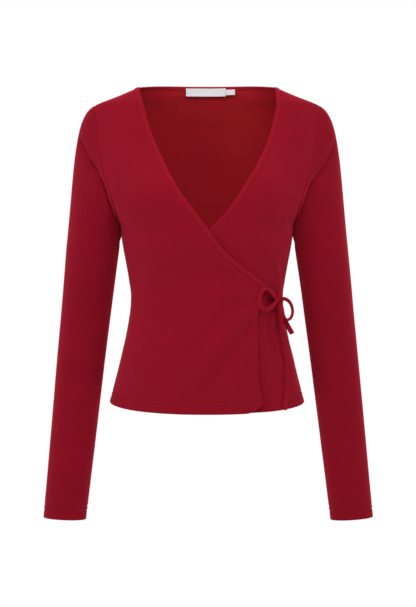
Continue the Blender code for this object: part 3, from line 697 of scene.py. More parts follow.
def add_shell(name, outer, normals, thickness, surface, flat_map, tube=False, inside=None):
    """Cloth as a closed thin wall with rounded rims, from a grid of its outer points."""
    rows, columns = outer.shape[:2]
    thickness = np.broadcast_to(thickness, (rows, columns))[..., None]
    inner = outer - normals * thickness
    shift = rows * columns
    points = [outer.reshape(-1, 3), inner.reshape(-1, 3)]
    maps = [flat_map.reshape(-1, 2)] * 2
    index = np.arange(shift).reshape(rows, columns)
    if tube:
        index = np.concatenate([index, index[:, :1]], axis=1)
    quads = grid_quads(index)
    faces = quads.tolist() + (quads[:, ::-1] + shift).tolist()
    used = 2 * shift
    for loop in border_of(rows, columns, tube):
        rim = []
        for (i, j), (inner_i, inner_j) in loop:
            away = outer[i, j] - outer[inner_i, inner_j]
            away = away / max(np.linalg.norm(away), 1e-6)
            rim.append((outer[i, j] + inner[i, j]) / 2 + away * RIM_ROUNDING * thickness[i, j])
        points.append(np.array(rim))
        maps.append(np.array([flat_map[place] for place, _ in loop]))
        for k in range(len(loop)):
            after = (k + 1) % len(loop)
            a, b = index[loop[k][0]], index[loop[after][0]]
            faces.append([a, b, used + after, used + k])
            faces.append([used + k, used + after, b + shift, a + shift])
        used += len(loop)
    faces = [[int(corner) for corner in face] for face in faces]
    made = add_mesh(name, np.concatenate(points), faces, surface, np.concatenate(maps))
    # The inner wall's faces take the lighter inner cloth: painted light on the shaded inside.
    if inside:
        number = np.arange(len(faces))
        paint_inner_side_light(made, inside, (number >= len(quads)) & (number < 2 * len(quads)))
    return made


def add_stitches(name, lines, surface, length=2.5, gap=0.7, radius=0.2):
    """Rows of thread stitches along lines of (points, directions out of the cloth)."""
    points, faces = [], []
    last = len(BULGE["along"]) - 1
    for line, outward in lines:
        marks = lengths_along(line)
        for start in np.arange(FIRST_STITCH, marks[-1] - length, length + gap):
            base = len(points)
            spots = start + BULGE["along"] * length
            centres, out = (read_along(spots, marks, rows) for rows in (line, outward))
            out = unit(out)
            across = unit(np.cross(centres[-1] - centres[0], out))
            for centre, size, rise, up, over in zip(centres, BULGE["size"], BULGE["rise"], out, across):
                for k in range(STITCH_SIDES):
                    turn = 2 * math.pi * k / STITCH_SIDES
                    round_way = over * math.cos(turn) + up * math.sin(turn)
                    points.append(centre + up * rise + round_way * radius * size)
            for i in range(last):
                for k in range(STITCH_SIDES):
                    ring = base + i * STITCH_SIDES
                    a, b = ring + k, ring + (k + 1) % STITCH_SIDES
                    faces.append([a, b, b + STITCH_SIDES, a + STITCH_SIDES])
            faces.append([base + k for k in range(STITCH_SIDES)][::-1])
            faces.append([base + last * STITCH_SIDES + k for k in range(STITCH_SIDES)])
    return add_mesh(name, points, faces, surface)


# ---------------------------------------------------------------- the panels
def front_spots(side):
    """Where the rows of a front meet its neck seam, from the lapped corner up to the shoulder seam."""
    _, seam = neck_edges(side, BAND_WIDTH)
    levels = LOW_ROWS[~IS_FREE]
    level_spots = np.interp(-levels, -seam[:, 1], np.arange(len(seam)))
    return np.concatenate([level_spots, even_spots(seam, ROWS_OF_ARMHOLE + 1, level_spots[-1], 0)[1:]])


def row_distances(grid):
    """How far each point of each row is from the row's first point and from its last one."""
    steps = np.linalg.norm(np.diff(grid, axis=1), axis=-1)
    from_first = np.concatenate([np.zeros((len(grid), 1)), np.cumsum(steps, axis=1)], axis=1)
    return from_first, from_first[:, -1:] - from_first


def panel_map(grid, face):
    """The panel laid flat, in mm: along the cloth from the garment's middle, and up."""
    x, z = grid[..., 0, None], grid[..., 2, None]
    steps = x * np.sin(np.linspace(0, 1, MAP_STEPS) * math.pi / 2)
    depths = torso_depth(steps, np.broadcast_to(z, steps.shape), face)
    across = np.hypot(np.diff(steps, axis=-1), np.diff(depths, axis=-1)).sum(axis=-1)
    return np.stack([np.sign(grid[..., 0]) * across, grid[..., 2]], axis=-1)


def front_grid(side):
    """One front: rows from the hem up, columns from the side seam and armhole in to the lapped edge."""
    _, seam = neck_edges(side, BAND_WIDTH)
    free_ends = [(side * read(LAP_EDGE, "own_side", z), z) for z in LOW_ROWS[IS_FREE]]
    inner_ends = np.concatenate([free_ends, pick(seam, front_spots(side))])
    outer_ends = [(side * (read(BODY, "half_width", z) - RIDGE_STEP), z) for z in LOW_ROWS]
    outer_ends += [(side * armhole_x(z, FRONT), z) for z in ARMHOLE_ROWS[1:]]
    rows = [
        torso_row(outer, inner, COLUMNS[side], FRONT, side, INNER_MARKS)
        for outer, inner in zip(outer_ends, inner_ends)
    ]
    rows[-1] = shoulder_row(inner_ends[-1], COLUMNS[side], FRONT, side)
    grid, normals = (np.array(part) for part in zip(*rows))
    from_first, from_last = row_distances(grid)
    free = np.arange(len(grid))[:, None] < len(free_ends)
    above = np.array(outer_ends)[:, 1:] - HEM_Z
    relief = np.minimum(dip(from_first, FRONT_SIDE_DIP), dip(grid[..., 1]) * (above > HEM_ROWS[-1]))
    relief *= ease(from_first / SEAM_START)
    roll = FREE_EDGE_ROLL["rise"] * bell(from_last, FREE_EDGE_ROLL["reach"])
    roll += dip(from_last - TURNED_EDGE, FREE_EDGE_DIP)
    share = FREE_EDGE_ROLL["share"] + FREE_EDGE_ROLL["share_at_foot"] * bell(above, FREE_EDGE_ROLL["foot"])
    relief += np.where(free, roll * share, dip(from_last))
    relief += hem_relief(above, from_first, HEM)
    grid = grid + normals * relief[..., None]
    grid[..., 1] -= SEAM_GAP / 2
    if side == RIGHT:
        near_edge = np.clip(1 - from_last / CORNER_WIDTH, 0, 1) ** 2 * ease(1 - above / CORNER_HEIGHT)
        grid[..., 1] -= CORNER_GAP["front"] * near_edge
        grid[..., 2] += CORNER_LIFT * near_edge
    else:
        under_corner = bell(grid[..., 0] - CORNER_GAP["x"], CORNER_GAP["width"])
        grid[..., 1] += CORNER_GAP["back"] * under_corner * ease(1 - above / CORNER_GAP["height"])
    thickness = np.where(above < HEM["depth"], HEM_CLOTH, CLOTH)
    return grid, normals, thickness, panel_map(grid, FRONT)


def back_neck_spots():
    """Where the columns of the back meet the neck seam, from the wearer's left shoulder to the middle."""
    _, seam = back_neck_edges(BAND_WIDTH)
    return even_spots(seam, BACK_NECK_COLUMNS + 1, len(seam) - 1, (len(seam) - 1) / 2)


def back_grid():
    """The back: rows from the hem up. The top one is the shoulder seams and the neck."""
    _, seam = back_neck_edges(BAND_WIDTH)
    neck_line = pick(seam, back_neck_spots())
    count = BACK_SHOULDER_COLUMNS + BACK_NECK_COLUMNS + 1
    middle_rows = np.linspace(UNDERARM_Z, neck_line[-1, 1], ROWS_OF_ARMHOLE + 1)
    outer_ends = [(read(BODY, "half_width", z) - RIDGE_STEP, z) for z in LOW_ROWS]
    outer_ends += [(armhole_x(z, BACK), z) for z in ARMHOLE_ROWS[1:]]
    inner_ends = [(0.0, z) for z in [*LOW_ROWS, *middle_rows[1:]]]
    halves = []
    for side in (LEFT, RIGHT):
        mirror = np.array([side, 1.0])
        rows = [
            torso_row(np.array(outer) * mirror, np.array(inner) * mirror, count, BACK)
            for outer, inner in zip(outer_ends[:-1], inner_ends[:-1])
        ]
        shoulder = shoulder_row(neck_line[0], BACK_SHOULDER_COLUMNS + 1, BACK, side)
        neck = torso(side * neck_line[1:, 0], neck_line[1:, 1], BACK)
        rows.append([np.concatenate(parts) for parts in zip(shoulder, neck)])
        halves.append([np.array(part) for part in zip(*rows)])
    (left_grid, left_normals), (right_grid, right_normals) = halves
    grid = np.concatenate([left_grid, right_grid[:, -2::-1]], axis=1)
    normals = np.concatenate([left_normals, right_normals[:, -2::-1]], axis=1)
    from_first, from_last = row_distances(grid)
    above = np.array(outer_ends)[:, 1:] - HEM_Z
    from_side = np.minimum(from_first, from_last)
    relief = np.minimum(dip(from_side, BACK_SIDE_DIP), dip(grid[..., 1]) * (above > HEM_ROWS[-1]))
    relief *= ease(from_side / SEAM_START)
    beside_neck = np.abs(grid[..., 0]) > NECK_X
    below_neck = np.maximum(neck_line[-1, 1] - grid[..., 2], 0) + FAR_AWAY * beside_neck
    relief = np.minimum(relief, dip(below_neck))
    relief += hem_relief(above, from_first, HEM)
    grid = grid + normals * relief[..., None]
    grid[..., 1] += SEAM_GAP / 2
    thickness = np.where(above < HEM["depth"], HEM_CLOTH, CLOTH)
    return grid, normals, thickness, panel_map(grid, BACK)


# ---------------------------------------------------------------- the sleeves
def armhole_loop(side):
    """The sleeve's armhole seam, from the underarm up the front, over the shoulder and down the back."""
    loop = []
    for face, rows in ((FRONT, ARMHOLE_ROWS), (BACK, ARMHOLE_ROWS[-2:0:-1])):
        x = armhole_x(rows, face)
        points, _ = torso(side * x, rows, face, side if face == FRONT else None)
        loop.append(points)
    loop = np.concatenate(loop)
    loop[:, 0] += side * SEAM_GAP
    return loop


def sleeve_ring(side, z, count):
    """One level ring of the sleeve, from its inner side to the front, the outside and the back."""
    turn = np.linspace(0, 2 * math.pi, count, endpoint=False)
    size = {name: read(SLEEVE, name, z) for name in SLEEVE if name != "z"}
    swing = read(SWING, "right" if side == RIGHT else "left", z)
    x = size["middle_x"] + swing - size["half_width"] * np.cos(turn)
    y = size["middle_y"] - size["half_depth"] * np.sin(turn)
    return np.stack([side * x, y, np.full(count, z)], axis=-1)


def grid_normals(grid):
    """Directions out of a tube's grid of rings."""
    round_way = np.roll(grid, -1, axis=1) - np.roll(grid, 1, axis=1)
    down = np.gradient(grid, axis=0)
    outward = unit(np.cross(round_way, down))
    middle = grid.mean(axis=1, keepdims=True)
    return outward * np.sign(np.sum(outward * (grid - middle)))


# The cap's directions where it leaves the armhole and where it arrives at the sleeve's top ring. Each is
# (outwards, up), at the underarm and at the top of the cap.
CAP_LEAVES = ((1.0, -30), (99.0, -41))
CAP_ARRIVES = ((3.0, -36), (39.0, -374))
SLEEVE_GIRTH = 240.0  # the flat map's width round a sleeve, the same at every height
CAP_FOLDS_START = 9.0  # how far below the cap's seam the folds are at their full depth
# How much lower the left sleeve creases than the right one. At the front this sets in above `from_z`, over
# the height in `over`; at the back it is the same all the way down.
LEFT_CREASES = {"front": 10.0, "from_z": -170.0, "over": 45.0, "back": 6.0}
SIDE_STRIP = 8  # the higher, the narrower the strip of the sleeve that is drawn against the side
CREASES_ROUND = 0.1  # how far the front's and the back's creases run on round the sleeve


def cap_directions(ends, side, top):
    (under_x, under_z), (top_x, top_z) = ends
    return (1 - top) * (side * under_x, 0, under_z) + top * (side * top_x, 0, top_z)


def sleeve_grid(side):
    """Rings from the armhole over the cap to the level top ring, then down to the cuff."""
    start = armhole_loop(side)
    count = len(start)
    end = sleeve_ring(side, SLEEVE_TOP_Z, count)
    turn = np.linspace(0, 2 * math.pi, count, endpoint=False)
    top = ((1 - np.cos(turn)) / 2)[:, None]
    leave, arrive = (cap_directions(ends, side, top) for ends in (CAP_LEAVES, CAP_ARRIVES))
    shares = np.linspace(0, 1, CAP_RINGS + 1) ** CAP_RING_SPACING
    rings = [curve_between(t, start, leave, end, arrive) for t in shares]
    cuff_levels = CUFF_Z + CUFF_ROWS[::-1]
    levels = np.linspace(SLEEVE_TOP_Z, cuff_levels[0], SLEEVE_RINGS)[1:]
    rings += [sleeve_ring(side, z, count) for z in [*levels, *cuff_levels[1:]]]
    grid = np.array(rings)
    inner_x, inner_z = np.abs(grid[:, 0, 0]), grid[:, 0, 2]
    opening = np.clip(UNDERARM_OPENS_Z - inner_z, 0, None) * UNDERARM_SPREAD
    pull = np.clip(inner_x - read(BODY, "half_width", inner_z) - opening, 0, None) * (inner_z < UNDERARM_Z)
    towards_side = np.clip(np.cos(turn), 0, 1) ** SIDE_STRIP
    grid[..., 0] -= side * pull[:, None] * towards_side
    normals = grid_normals(grid)
    in_front_or_behind = np.abs(normals[..., 1]) ** 0.5
    down = np.cumsum(np.linalg.norm(np.diff(grid, axis=0, prepend=grid[:1]), axis=-1), axis=0)
    x, z = np.abs(grid[..., 0]), grid[..., 2]
    folds = fold_relief(CAP_BREAK, x, z) * in_front_or_behind
    in_front = np.clip(-normals[..., 1] + CREASES_ROUND, 0, 1) ** 0.5
    behind = np.clip(normals[..., 1] + CREASES_ROUND, 0, 1) ** 0.5
    is_left = side == LEFT
    front_shift = is_left * LEFT_CREASES["front"] * ease((z - LEFT_CREASES["from_z"]) / LEFT_CREASES["over"])
    folds += fold_relief(SLEEVE_FOLDS[FRONT], x, z + front_shift) * in_front
    folds += fold_relief(SLEEVE_FOLDS[BACK], x, z + is_left * LEFT_CREASES["back"]) * behind
    folds *= ease(down / CAP_FOLDS_START)
    along = np.arange(count) * SLEEVE_GIRTH / count
    seam = np.minimum(along, SLEEVE_GIRTH - along)
    relief = np.minimum(dip(down, CAP_SEAM_DIP), dip(seam, SLEEVE_SEAM_DIP))
    relief += CAP_RIDGE["rise"] * bell(down - CAP_RIDGE["away"], CAP_RIDGE["reach"])
    relief *= ease(down / SEAM_START)
    relief += hem_relief(z - CUFF_Z, along, CUFF)
    grid = grid + normals * relief[..., None]
    # Folds sink straight in, so that they open no gap at the side.
    grid[..., 1] += np.sign(normals[..., 1]) * folds
    to_outside = (x - inner_x[:, None]) / CUFF_WIDTH - CUFF_SLANT_PIVOT
    grid[..., 2] += CUFF_SLANT[side] * to_outside * ease(1 - (z - CUFF_Z) / CUFF_SLANT_REACH)
    thickness = np.where(z - CUFF_Z < CUFF["depth"], HEM_CLOTH, CLOTH)
    flat_map = np.stack(np.broadcast_arrays(along, z), axis=-1)
    return grid, normals, thickness, flat_map


# ---------------------------------------------------------------- the neck binding
# Its section: how far across it from the seam to the open edge, and how far out of the cloth's outer side.
BAND_SECTION = table("across out", [
    (0.0, -0.55),
    (0.02, 0.0),
    (0.1, 0.36),
    (0.3, 0.5),
    (0.55, 0.52),
    (0.8, 0.42),
    (0.94, 0.12),
    (1.0, -0.45),
    (0.95, -1.05),
    (0.8, -1.42),
    (0.55, -1.55),
    (0.3, -1.55),
    (0.1, -1.45),
    (0.02, -1.15),
])
BAND_WAVE = 0.1  # how high its uneven small wave is
BAND_PAINTED_LIGHT_OUT = -0.5  # corners of the section that lie further in than this are the band's inner side, which takes the lighter inner cloth: painted light


def band_rails():
    """The seam line and open edge of the neck band with their outward directions, from corner to corner."""
    left_half = back_neck_spots()
    middle = left_half[-1]
    right_half = 2 * middle - left_half
    stretches = [
        (*neck_edges(RIGHT, BAND_WIDTH), front_spots(RIGHT), FRONT, RIGHT),
        (*back_neck_edges(BAND_WIDTH), np.concatenate([right_half[1:], left_half[-2:0:-1]]), BACK, None),
        (*neck_edges(LEFT, BAND_WIDTH), front_spots(LEFT)[::-1], FRONT, LEFT),
    ]
    rails = []
    for edge, seam, spots, face, side in stretches:
        lines = [pick(line, spots) for line in (seam, edge)]
        rails.append([part for line in lines for part in torso(line[:, 0], line[:, 1], face, side)])
    return [np.concatenate(parts) for parts in zip(*rails)]


def closed_strip(name, grid, flat_map, surface, inside=None, inner_corners=()):
    """A closed solid from rings of points, with capped ends. Its flat map has one more column."""
    steps, corners = grid.shape[:2]
    wrapped = np.concatenate([grid, grid[:, :1]], axis=1)
    ends = [wrapped[0, :-1].mean(axis=0), wrapped[-1, :-1].mean(axis=0)]
    points = np.concatenate([wrapped.reshape(-1, 3), ends])
    maps = np.concatenate([flat_map.reshape(-1, 2), [flat_map[0, 0], flat_map[-1, 0]]])
    wide = corners + 1
    index = np.arange(steps * wide).reshape(steps, wide)
    faces = grid_quads(index).tolist()
    first, last = steps * wide, steps * wide + 1
    faces += [[int(index[0, j + 1]), int(index[0, j]), first] for j in range(corners)]
    faces += [[int(index[-1, j]), int(index[-1, j + 1]), last] for j in range(corners)]
    piece = add_mesh(name, points, faces, surface, maps)
    # Faces on the inner side take the lighter inner cloth: painted light.
    if inside:
        number = np.arange(len(faces))
        on_side = number < (steps - 1) * corners
        paint_inner_side_light(piece, inside, on_side & np.isin(number % corners, inner_corners))
    # The two edges where the flat map begins and ends become one; the map itself keeps both.
    face_outwards(piece.data, joined=True)
    piece.data.shade_smooth()
    return piece


def add_band(name, surface, inside):
    seam, seam_out, edge, edge_out = band_rails()
    length = lengths_along(edge)
    wave = BAND_WAVE * puckers(length)
    section, maps = [], []
    round_section = [*range(len(BAND_SECTION["across"])), 0]
    around = 0.0
    for k, corner in enumerate(round_section):
        across, out = BAND_SECTION["across"][corner], BAND_SECTION["out"][corner]
        if k:
            before = round_section[k - 1]
            step_across = (across - BAND_SECTION["across"][before]) * BAND_WIDTH
            around += math.hypot(step_across, out - BAND_SECTION["out"][before])
        outward = unit(seam_out * (1 - across) + edge_out * across)
        lift = out + np.where(out > 0, wave, 0.0)
        section.append(seam * (1 - across) + edge * across + outward * lift[:, None])
        maps.append(np.stack([length, np.full(len(length), around)], axis=-1))
    inner_corners = np.flatnonzero(BAND_SECTION["out"] < BAND_PAINTED_LIGHT_OUT)[1:-1]
    rings, flat_map = np.stack(section[:-1], axis=1), np.stack(maps, axis=1)
    return closed_strip(name, rings, flat_map, surface, inside, inner_corners)


# ---------------------------------------------------------------- tags
# Woven tags inside the back neck. The main one rises over the end of the size tab that is tucked behind it.
TAG_CLOTH = 0.5
OFF_BACK = 2.2  # from the back's outer side in to a tag's rear
LABEL = {"left": -33.0, "right": 29.5, "top": 4.2, "bottom": -8.2, "end_rise": TAG_CLOTH + 0.35}
SIZE_TAB = {"left": 25.5, "right": 44.0, "top": 2.4, "bottom": -6.0, "end_rise": 0.0}
TAG_STITCH_IN = 1.6  # how far inside its two ends the main tag is sewn on
TAG_STITCH_LIFT = 0.1
TAG_COLUMNS = {"neck_label": 61, "size_tab": 21}
TAG_ROWS = 13
RISE_START = {"before_tab": 12.0, "over": 8.0}  # where the main tag's end begins to rise over the size tab
FOOT_CURL = {"out": 0.7, "even": 0.6, "uneven": 0.4, "wave": 11.0}
FORWARD = [0.0, -1.0, 0.0]


def tag_points(size, columns):
    """A tag's front side. It follows the back neck and hangs straight, and its foot curls out a little."""
    x = np.linspace(size["left"], size["right"], columns)
    top, _ = torso(x, np.full(columns, size["top"]), BACK, fine=False)
    near_tab = ease((x - SIZE_TAB["left"] + RISE_START["before_tab"]) / RISE_START["over"])
    top[:, 1] -= OFF_BACK + TAG_CLOTH + size["end_rise"] * near_tab
    down = np.linspace(0, 1, TAG_ROWS)[:, None]
    grid = np.repeat(top[None], TAG_ROWS, axis=0)
    grid[..., 2] = top[:, 2] + (size["bottom"] - top[:, 2]) * down
    uneven = FOOT_CURL["even"] + FOOT_CURL["uneven"] * np.cos(x / FOOT_CURL["wave"])
    grid[..., 1] -= FOOT_CURL["out"] * down**3 * uneven
    return grid


def add_tag(name, size, surface, columns):
    grid = tag_points(size, columns)
    forward = np.broadcast_to(FORWARD, grid.shape)
    return add_shell(name, grid, forward, TAG_CLOTH, surface, grid[..., [0, 2]])


def tag_stitch_lines():
    grid = tag_points(LABEL, TAG_COLUMNS["neck_label"])
    lines = []
    for x in (LABEL["left"] + TAG_STITCH_IN, LABEL["right"] - TAG_STITCH_IN):
        column = np.abs(grid[0, :, 0] - x).argmin()
        line = grid[:, column] + (0, -TAG_STITCH_LIFT, 0)
        lines.append((line, np.broadcast_to(FORWARD, line.shape)))
    return lines


# ---------------------------------------------------------------- the bow
TIE_WIDTH = 7.0
TIE_CLOTH = 2.5
KNOT = {"x": 108.4, "y": -50.5, "z": -328.5, "half_width": 4.8, "half_depth": 5.2, "half_height": 7.8}

# Each row of a route is a place, and how far the tie's flat side is turned there from its facing, in degrees.
ROUTE_COLUMNS = "x y z turn"
TIE_ROUTES = {
    "front_strap": table(ROUTE_COLUMNS, [
        (89.2, -68.5, -312.5, 0),
        (96.2, -62.2, -317.0, 0),
        (104.2, -54.4, -323.4, 10),
    ]),
    "side_strap": table(ROUTE_COLUMNS, [
        (119.3, -5.0, -328.2, 0),
        (118.4, -14.0, -328.4, 0),
        (116.5, -24.0, -328.6, 0),
        (114.2, -34.0, -328.6, 0),
        (111.0, -45.8, -328.3, 0),
    ]),
    "loop_front": table(ROUTE_COLUMNS, [
        (104.3, -55.9, -328.2, 20),
        (98.0, -65.9, -318.6, 45),
        (90.0, -72.4, -313.4, 60),
        (82.0, -77.2, -317.6, 40),
        (78.4, -79.4, -329.0, 10),
        (81.4, -78.0, -341.5, 25),
        (89.0, -73.4, -345.0, 45),
        (96.8, -66.4, -341.2, 40),
        (102.8, -60.6, -335.4, 24),
        (108.2, -57.9, -327.2, 8),
    ]),
    "loop_side": table(ROUTE_COLUMNS, [
        (112.9, -53.0, -328.0, 20),
        (119.5, -54.6, -329.0, 50),
        (125.8, -55.0, -334.2, 58),
        (129.3, -55.0, -343.0, 65),
        (129.4, -55.0, -351.6, 68),
        (126.5, -55.0, -358.0, 67),
        (121.4, -54.9, -360.4, 65),
        (117.0, -54.4, -356.6, 62),
        (115.2, -53.5, -348.6, 60),
        (112.1, -51.9, -335.9, 30),
    ]),
    "tail_long": table(ROUTE_COLUMNS, [
        (108.8, -54.7, -336.0, 20),
        (111.0, -58.4, -347.0, 36),
        (112.6, -59.4, -364.0, 46),
        (115.0, -58.6, -390.0, 48),
        (118.6, -59.2, -418.0, 44),
        (120.4, -62.0, -444.0, 32),
        (119.0, -67.6, -470.0, 18),
        (116.6, -74.6, -496.0, 8),
    ]),
    "tail_short": table(ROUTE_COLUMNS, [
        (109.2, -48.7, -336.9, 20),
        (112.6, -47.8, -347.0, 24),
        (117.4, -47.2, -359.0, 16),
        (123.6, -48.0, -371.0, 6),
        (129.8, -49.2, -381.6, 0),
    ]),
}
FACING = {name: FORWARD for name in TIE_ROUTES}
FACING["side_strap"] = (1.0, -0.3, 0.0)
ROUTE_STEP = 1.3
SPOTS_A_ROW = 40  # places on the curve for each row of a route, before they are spaced evenly
WIDTH_SHARES = {"front_strap": 0.86, "side_strap": 0.84, "tail_short": 1.08}  # where the tie isn't TIE_WIDTH
# The tie is drawn in where it enters the knot: by what share of its width, and over what length.
DRAWN_IN = {"share": 0.32, "reach": 5.0, "thicker": 0.25}
TIE_WAVE = {"width": 0.02, "stretch": 1.3, "thickness": 0.05}  # its uneven width and thickness
CUT_END = {"reach": 1.2, "thickness": 0.35, "width": 0.94}  # a tail's end, as shares of the tie

# Half of the tie's soft flat section, in shares of its half width and half thickness.
TIE_SECTION = table("across out", [
    (1.0, 0.0),
    (0.97, 0.5),
    (0.86, 0.86),
    (0.62, 1.0),
    (0.3, 0.98),
    (0.0, 0.92),
    (-0.3, 0.98),
    (-0.62, 1.0),
    (-0.86, 0.86),
    (-0.97, 0.5),
])


def route_points(route):
    """Points and turns on the smooth curve through a route, about ROUTE_STEP apart."""
    route = np.stack([route[name] for name in ROUTE_COLUMNS.split()], axis=-1)
    marks = lengths_along(route[:, :3])
    count = round(marks[-1] / ROUTE_STEP) + 1
    before, after = 2 * route[0] - route[1], 2 * route[-1] - route[-2]
    padded = np.vstack([before, route, after])
    spots = np.linspace(0, len(route) - 1, SPOTS_A_ROW * len(route))
    k = np.minimum(spots.astype(int), len(route) - 2)
    t = (spots - k)[:, None]
    a, b, c, d = padded[k], padded[k + 1], padded[k + 2], padded[k + 3]
    curve = 0.5 * (2 * b + (c - a) * t + (2 * a - 5 * b + 4 * c - d) * t**2 + (3 * b - a - 3 * c + d) * t**3)
    lengths = lengths_along(curve[:, :3])
    wanted = np.linspace(0, lengths[-1], count)
    even = read_along(wanted, lengths, curve)
    return even[:, :3], even[:, 3]


def tie_frames(points, turns, facing):
    """The directions across and out of the flat side of a tie at each of its points."""
    along = unit(np.gradient(points, axis=0))
    facing = np.array(facing)
    out = unit(facing - (along @ facing)[:, None] * along)
    across = np.cross(along, out)
    turns = np.radians(turns)[:, None]
    return across * np.cos(turns) - out * np.sin(turns), out * np.cos(turns) + across * np.sin(turns)


def tie_rings(points, across, out, half_width, half_thick):
    """Rings of the tie's section. Its size may change along it."""
    share = np.concatenate([TIE_SECTION["across"], -TIE_SECTION["across"]])
    rise = np.concatenate([TIE_SECTION["out"], -TIE_SECTION["out"]])
    half_width = np.broadcast_to(half_width, len(points))[:, None, None]
    half_thick = np.broadcast_to(half_thick, len(points))[:, None, None]
    return (
        points[:, None]
        + across[:, None] * share[None, :, None] * half_width
        + out[:, None] * rise[None, :, None] * half_thick
    )


def ring_map(points, rings):
    """Along the tie, and round it."""
    wrapped = np.concatenate([rings, rings[:, :1]], axis=1)
    around = np.cumsum(np.linalg.norm(np.diff(wrapped, axis=1, prepend=wrapped[:, :1]), axis=-1), axis=1)
    along = np.broadcast_to(lengths_along(points)[:, None], around.shape)
    return np.stack([along, around], axis=-1)


def add_tie(name, surface):
    points, turns = route_points(TIE_ROUTES[name])
    across, out = tie_frames(points, turns, FACING[name])
    marks = lengths_along(points)
    to_end = marks[-1] - marks
    squeeze = 1.0 - DRAWN_IN["share"] * bell(marks, DRAWN_IN["reach"]) * (name != "side_strap")
    if name.startswith("loop"):
        squeeze *= 1.0 - DRAWN_IN["share"] * bell(to_end, DRAWN_IN["reach"])
    half_width = TIE_WIDTH / 2 * WIDTH_SHARES.get(name, 1.0) * squeeze
    half_width *= 1 + TIE_WAVE["width"] * puckers(marks * TIE_WAVE["stretch"])
    half_thick = TIE_CLOTH / 2 * (1 + DRAWN_IN["thicker"] * (1 - squeeze))
    half_thick *= 1 + TIE_WAVE["thickness"] * puckers(marks)
    if name.startswith("tail"):
        square_end = ease(to_end / CUT_END["reach"]) ** 0.5
        half_thick *= CUT_END["thickness"] + (1 - CUT_END["thickness"]) * square_end
        half_width *= CUT_END["width"] + (1 - CUT_END["width"]) * square_end
    rings = tie_rings(points, across, out, half_width, half_thick)
    return closed_strip(name + ".tie", rings, ring_map(points, rings), surface), points


# The knot: a core, and two turns of the tie round it. Each turn is an upright oval that leans and lies aside.
KNOT_TURNS = table("aside lean half_depth half_height width", [
    (-1.3, -14.0, 4.5, 6.9, 6.6),
    (1.5, 16.0, 4.1, 6.0, 5.8),
])
KNOT_RING_STEPS = 49
KNOT_TURN_HALF_THICK = 0.95
CORE = {"rows": 17, "columns": 24, "share": 0.86, "fullness": 0.6}  # its size is a share of the knot's
GROOVE = {"depth": 0.1, "slant": 0.3, "reach": 0.2}  # runs aslant round the core


def upright_oval(turn, half_depth, half_height, lean):
    """An oval in the plane of front and height, leaned to one side."""
    oval = np.stack([np.zeros(len(turn)), -half_depth * np.cos(turn), half_height * np.sin(turn)], axis=-1)
    leaning = [[math.cos(lean), 0, math.sin(lean)], [0, 1, 0], [-math.sin(lean), 0, math.cos(lean)]]
    return oval @ np.array(leaning).T


def add_knot(name, surface):
    middle = np.array([KNOT["x"], KNOT["y"], KNOT["z"]])
    made = []
    for k in range(len(KNOT_TURNS["aside"])):
        size = {column: values[k] for column, values in KNOT_TURNS.items()}
        turn = np.linspace(0, 2 * math.pi, KNOT_RING_STEPS)
        lean = math.radians(size["lean"])
        oval = upright_oval(turn, size["half_depth"], size["half_height"], lean)
        ring = middle + (size["aside"], 0, 0) + oval
        out = unit(upright_oval(turn, size["half_height"], size["half_depth"], lean))
        across = unit(np.cross(np.gradient(ring, axis=0), out))
        rings = tie_rings(ring, across, out, size["width"] / 2, KNOT_TURN_HALF_THICK)
        made.append(closed_strip(f"{name}.turn_{k + 1}", rings, ring_map(ring, rings), surface))
    down = np.linspace(0, math.pi, CORE["rows"])[1:-1, None]
    turn = np.linspace(0, 2 * math.pi, CORE["columns"], endpoint=False)
    wide = np.sin(down) ** CORE["fullness"]
    groove = 1 - GROOVE["depth"] * bell(np.cos(down) - GROOVE["slant"] * np.cos(turn), GROOVE["reach"])
    core = np.stack(
        np.broadcast_arrays(
            middle[0] + CORE["share"] * KNOT["half_width"] * wide * groove * np.cos(turn),
            middle[1] + CORE["share"] * KNOT["half_depth"] * wide * groove * np.sin(turn),
            middle[2] + CORE["share"] * KNOT["half_height"] * np.cos(down),
        ),
        axis=-1,
    )
    made.append(closed_strip(f"{name}.core", core, ring_map(core.mean(axis=1), core), surface))
    return made


# ---------------------------------------------------------------- materials
WHITE = (1.0, 1.0, 1.0, 1.0)


def set_sockets(node, **values):
    """Sets a node's own sockets, named with _ for each space."""
    for socket, value in values.items():
        node.inputs[socket.replace("_", " ")].default_value = value
    return node


def new_material(name, base, **settings):
    """A material with its Principled shader's own sockets set, and its node tree."""
    made = bpy.data.materials.new(name)
    made.use_nodes = True
    made.diffuse_color = (*base, 1.0)
    shader = set_sockets(made.node_tree.nodes["Principled BSDF"], Base_Color=(*base, 1.0), **settings)
    return made, made.node_tree, shader


def math_node(tree, operation, first, second=None, third=None):
    node = tree.nodes.new("ShaderNodeMath")
    node.operation = operation
    for k, value in enumerate((first, second, third)):
        if value is None:
            continue
        if isinstance(value, (int, float)):
            node.inputs[k].default_value = value
        else:
            tree.links.new(value, node.inputs[k])
    return node.outputs[0]


def noise(tree, where, scale, detail=2.0, roughness=0.5):
    node = tree.nodes.new("ShaderNodeTexNoise")
    set_sockets(node, Scale=scale, Detail=detail, Roughness=roughness)
    tree.links.new(where, node.inputs["Vector"])
    return node.outputs["Fac"]


def flat_map_of(tree):
    """The cloth's own across and up, in metres."""
    place = tree.nodes.new("ShaderNodeUVMap")
    place.uv_map = "cloth"
    parts = tree.nodes.new("ShaderNodeSeparateXYZ")
    tree.links.new(place.outputs["UV"], parts.inputs[0])
    return parts.outputs["X"], parts.outputs["Y"]


def object_place(tree):
    return tree.nodes.new("ShaderNodeTexCoord").outputs["Object"]


# The knit, in metres: how wide its columns of loops are, how high its rows, and how deep the bump reads.
WALE = 0.0009
BINDING_WALE = 0.0011
COURSE = 0.00065
KNIT_BUMP = 0.0004
# A loop: how far its row bends down in it, how much the rows show, how full it is, and its middle height.
KNIT = {"chevron": 0.45, "row_depth": 0.25, "fullness": 0.6, "middle": 0.6}
NAP = 0.5  # how much the nap adds to the knit's height
KNIT_STRENGTH = 0.22
